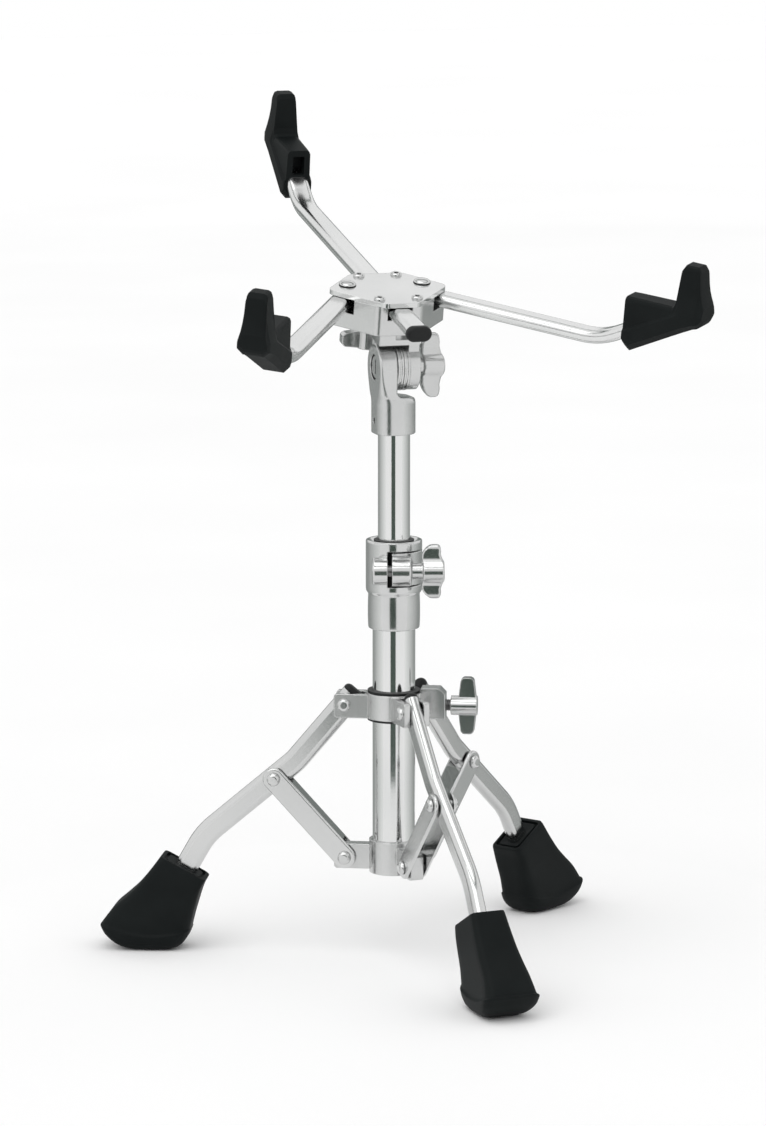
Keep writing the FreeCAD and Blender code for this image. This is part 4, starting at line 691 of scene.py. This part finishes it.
# Wing nuts: sections across a blade, from the middle of the hub to the tip, in millimetres.
# Each row: height, inner end and outer end along the nut's axis, half thickness, corner radius.
WING_ROWS = [
    (0.0, 4.4, 17.1, 6.75, 1.0), (1.5, 4.4, 17.1, 6.58, 1.0), (3.0, 4.4, 17.1, 6.05, 1.0),
    (4.2, 4.4, 17.0, 5.28, 1.0), (5.2, 4.3, 16.8, 4.4, 1.0), (6.0, 4.0, 16.4, 3.6, 1.0),
    (7.2, 3.6, 15.8, 3.05, 1.2), (9.0, 3.5, 15.3, 2.9, 1.2), (11.5, 3.7, 14.8, 2.8, 1.2),
    (14.0, 4.6, 15.0, 2.7, 1.2), (16.0, 5.8, 14.8, 2.6, 1.2), (17.6, 7.2, 14.4, 2.3, 1.2),
    (18.6, 8.2, 13.8, 1.8, 1.0), (19.1, 9.2, 12.8, 1.0, 0.6),
]
BLADE_START = 7.2
BLADE_TIP = 19.1
NUT_START = 12.6
NUT_SIDES = 48
NECK_RADIUS = 4.85
NECK_END = 5.4
BORE_LEAD = 1
BORE_END = 14.4


def cast_wing(name, body, place, neck_start, bore, reach):
    """A wing nut with a blind bore along the X axis of a frame, its blades as long as asked."""
    stretch = (reach - BLADE_START) / (BLADE_TIP - BLADE_START)
    rings = []
    for height, inner, outer, half, corner in WING_ROWS:
        blade = max(height - BLADE_START, 0)
        height = height - blade + blade * stretch
        rings.append(rounded_ring(height, inner, outer, half, corner, corner))
    below = [[(x, y, -z) for x, y, z in ring] for ring in reversed(rings[1:])]
    neck = [(NECK_RADIUS, neck_start), (NECK_RADIUS, NECK_END)]
    hole = [(bore, neck_start - BORE_LEAD), (bore, BORE_END)]
    nut_axis = place @ sideways
    changes = [
        ("UNION", [moved(turned(neck, NUT_SIDES), nut_axis)]),
        ("DIFFERENCE", [moved(turned(hole, NUT_SIDES), nut_axis)]),
    ]
    wing = carved(name, [moved(below + rings, place)], changes)
    return finished(wing, "chrome_wing", body, creased=40)


tilter_wing_place = tilter_place @ Matrix.Translation((NUT_START, 0, 0))
tilter_wing = cast_wing("tilter_cast_wing", "tilt_lock", tilter_wing_place,
                        neck_start=0.1, bore=4.15, reach=19.1)
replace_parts(tilter_wing, "tilter_wing_nut")
clamp_wing_place = clamp_place @ Matrix.Translation((NUT_START, -BARREL_FORWARD, -BARREL_DROP))
clamp_wing = cast_wing("clamp_cast_wing", "clamp_lock", clamp_wing_place,
                       neck_start=-2.0, bore=3.65, reach=16.0)
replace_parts(clamp_wing, "clamp_wing_nut")


# Stage: a pale floor, soft light all round, and cards that only reflections see.
FLOOR_HALF = 8
FLOOR_DROP = 0.2
WEDGE_HEIGHT = 0.3
WEDGE_STEPS = 12
RING_STEPS = 48
TENT_RADIUS = 4.2
CAMERA_AT = Vector((-0.8646, -2.8055, 0.7440))
CAMERA_TO = Vector((-0.0062, 0.0019, 0.2372))
FRONT_SHIFT = 4.5
camera_azimuth = math.degrees(math.atan2(CAMERA_AT.y, CAMERA_AT.x))
FRONT = camera_azimuth - FRONT_SHIFT
BACK = camera_azimuth + 180
SIDE_STEPS = 9
SIDE_START = 60
SIDE_END = 132
SIDE_LIGHT = 0.92
SIDE_FALL = 0.52
SIDE_TINT = (0, 0.015, 0.005)
SIDE_NEAR = 0.30
LIGHT_ALL_ROUND = 0.78


def plain(name, colour):
    """A card's material: an even glow."""
    material = bpy.data.materials.new(name)
    material.use_nodes = True
    tree = material.node_tree
    tree.nodes.remove(tree.nodes["Principled BSDF"])
    glow = add(tree, "ShaderNodeEmission")
    glow.inputs["Color"].default_value = (*colour, 1)
    glow.inputs["Strength"].default_value = 1.0
    link(tree, glow.outputs["Emission"], tree.nodes["Material Output"].inputs["Surface"])
    return material


def reflected(name, points, faces, material):
    """A flat mesh that no camera ray, diffuse ray or shadow ray meets."""
    mesh = bpy.data.meshes.new(name)
    mesh.from_pydata(points, [], faces)
    mesh.materials.append(material)
    panel = bpy.data.objects.new(name, mesh)
    bpy.context.scene.collection.objects.link(panel)
    panel.visible_camera = False
    panel.visible_diffuse = False
    panel.visible_shadow = False


def card(name, azimuth, distance, width, low, high, material):
    """An upright card that faces the column and shows only in reflections."""
    turn = math.radians(azimuth)
    side = Vector((-math.sin(turn), math.cos(turn), 0)) * width / 2
    middle = Vector((math.cos(turn), math.sin(turn), 0)) * distance
    first, last = middle - side, middle + side
    points = [(*corner.xy, height) for corner, height in
              ((first, low), (last, low), (last, high), (first, high))]
    reflected(name, points, [(0, 1, 2, 3)], material)


def wedge(name, azimuth, angle, near, far, material):
    """A sector of floor that shows only in reflections, as a gap in a light tent does."""
    points = []
    for step in range(WEDGE_STEPS + 1):
        turn = math.radians(azimuth + angle * (step / WEDGE_STEPS - 0.5))
        points.append((near * math.cos(turn), near * math.sin(turn), WEDGE_HEIGHT * MM))
        points.append((far * math.cos(turn), far * math.sin(turn), WEDGE_HEIGHT * MM))
    faces = [(2 * step, 2 * step + 1, 2 * step + 3, 2 * step + 2) for step in range(WEDGE_STEPS)]
    reflected(name, points, faces, material)


def ring_gap(name, distance, low, high, material):
    """A band round the stand that shows only in reflections, as a gap below a light tent's roof does."""
    points = []
    for step in range(RING_STEPS):
        turn = 2 * math.pi * step / RING_STEPS
        points.append((distance * math.cos(turn), distance * math.sin(turn), low))
        points.append((distance * math.cos(turn), distance * math.sin(turn), high))
    faces = []
    for step in range(RING_STEPS):
        after = (step + 1) % RING_STEPS
        faces.append((2 * step, 2 * after, 2 * after + 1, 2 * step + 1))
    reflected(name, points, faces, material)


floor_corners = [(-FLOOR_HALF, -FLOOR_HALF, 0), (FLOOR_HALF, -FLOOR_HALF, 0),
                 (FLOOR_HALF, FLOOR_HALF, 0), (-FLOOR_HALF, FLOOR_HALF, 0)]
floor_mesh = bpy.data.meshes.new("floor")
floor_mesh.from_pydata(floor_corners, [], [(0, 1, 2, 3)])
floor = bpy.data.objects.new("floor", floor_mesh)
bpy.context.scene.collection.objects.link(floor)
floor.location.z = -FLOOR_DROP * MM
floor_mesh.materials.append(surface("floor_paper", (0.97, 0.97, 0.97), (0.99, 0.99, 0.99), 0.0,
                                    (0.8, 0.9), 3, 300, 0.02, 0, specular=0.1))

wedge("front_gap", FRONT, angle=28, near=0.50, far=TENT_RADIUS,
      material=plain("front_gap", (0.085, 0.11, 0.095)))
card("front_gap_above", FRONT, TENT_RADIUS, width=2.2, low=0, high=0.9,
     material=plain("front_gap_above", (0.10, 0.125, 0.11)))
wedge("far_floor", BACK, angle=96, near=SIDE_NEAR, far=TENT_RADIUS,
      material=plain("far_floor", (0.36, 0.38, 0.37)))
card("far_gap", BACK, TENT_RADIUS, width=9.0, low=0, high=1.5,
     material=plain("far_gap", (0.22, 0.24, 0.23)))
ring_gap("roof_gap", TENT_RADIUS, low=4.4, high=5.6, material=plain("roof_gap", (0.12, 0.14, 0.13)))

# In reflections the floor grows darker from the sides to the back, in steps.
angle = (SIDE_END - SIDE_START) / SIDE_STEPS
for step in range(SIDE_STEPS):
    shade = SIDE_LIGHT - SIDE_FALL * step / (SIDE_STEPS - 1)
    turn = SIDE_START + angle * (step + 0.5)
    side_floor = plain(f"side_floor_{step + 1}", tuple(shade + part for part in SIDE_TINT))
    wedge(f"left_floor_{step + 1}", camera_azimuth - turn, angle, SIDE_NEAR, TENT_RADIUS, side_floor)
    wedge(f"right_floor_{step + 1}", camera_azimuth + turn, angle, SIDE_NEAR, TENT_RADIUS, side_floor)

# The world is white where it is seen or mirrored, and a little dimmer as a light.
world = bpy.data.worlds.new("studio")
bpy.context.scene.world = world
world.use_nodes = True
sky = world.node_tree
background = sky.nodes["Background"]
background.inputs["Color"].default_value = (1, 1, 1, 1)
path = add(sky, "ShaderNodeLightPath")
seen = add(sky, "ShaderNodeMath", operation="MAXIMUM")
seen_too = add(sky, "ShaderNodeMath", operation="MAXIMUM")
level = add(sky, "ShaderNodeMapRange")
level.inputs["To Min"].default_value = LIGHT_ALL_ROUND
level.inputs["To Max"].default_value = 1.0
link(sky, path.outputs["Is Camera Ray"], seen.inputs[0])
link(sky, path.outputs["Is Glossy Ray"], seen.inputs[1])
link(sky, seen.outputs["Value"], seen_too.inputs[0])
link(sky, path.outputs["Is Transmission Ray"], seen_too.inputs[1])
link(sky, seen_too.outputs["Value"], level.inputs["Value"])
link(sky, level.outputs["Result"], background.inputs["Strength"])

KEY_FROM = Vector((-0.5, -0.45, 1.0))
key_data = bpy.data.lights.new("key", "SUN")
key_data.energy = 0.95
key_data.angle = math.radians(60)
key = bpy.data.objects.new("key", key_data)
bpy.context.scene.collection.objects.link(key)
key.rotation_euler = (-KEY_FROM).to_track_quat("-Z", "Y").to_euler()

camera_data = bpy.data.cameras.new("camera")
camera_data.lens = 161.1
camera_data.sensor_width = 36
camera_data.clip_end = 50
camera = bpy.data.objects.new("camera", camera_data)
bpy.context.scene.collection.objects.link(camera)
camera.location = CAMERA_AT
camera.rotation_euler = (CAMERA_TO - CAMERA_AT).to_track_quat("-Z", "Y").to_euler()
bpy.context.scene.camera = camera
bpy.context.scene.view_settings.view_transform = "Standard"
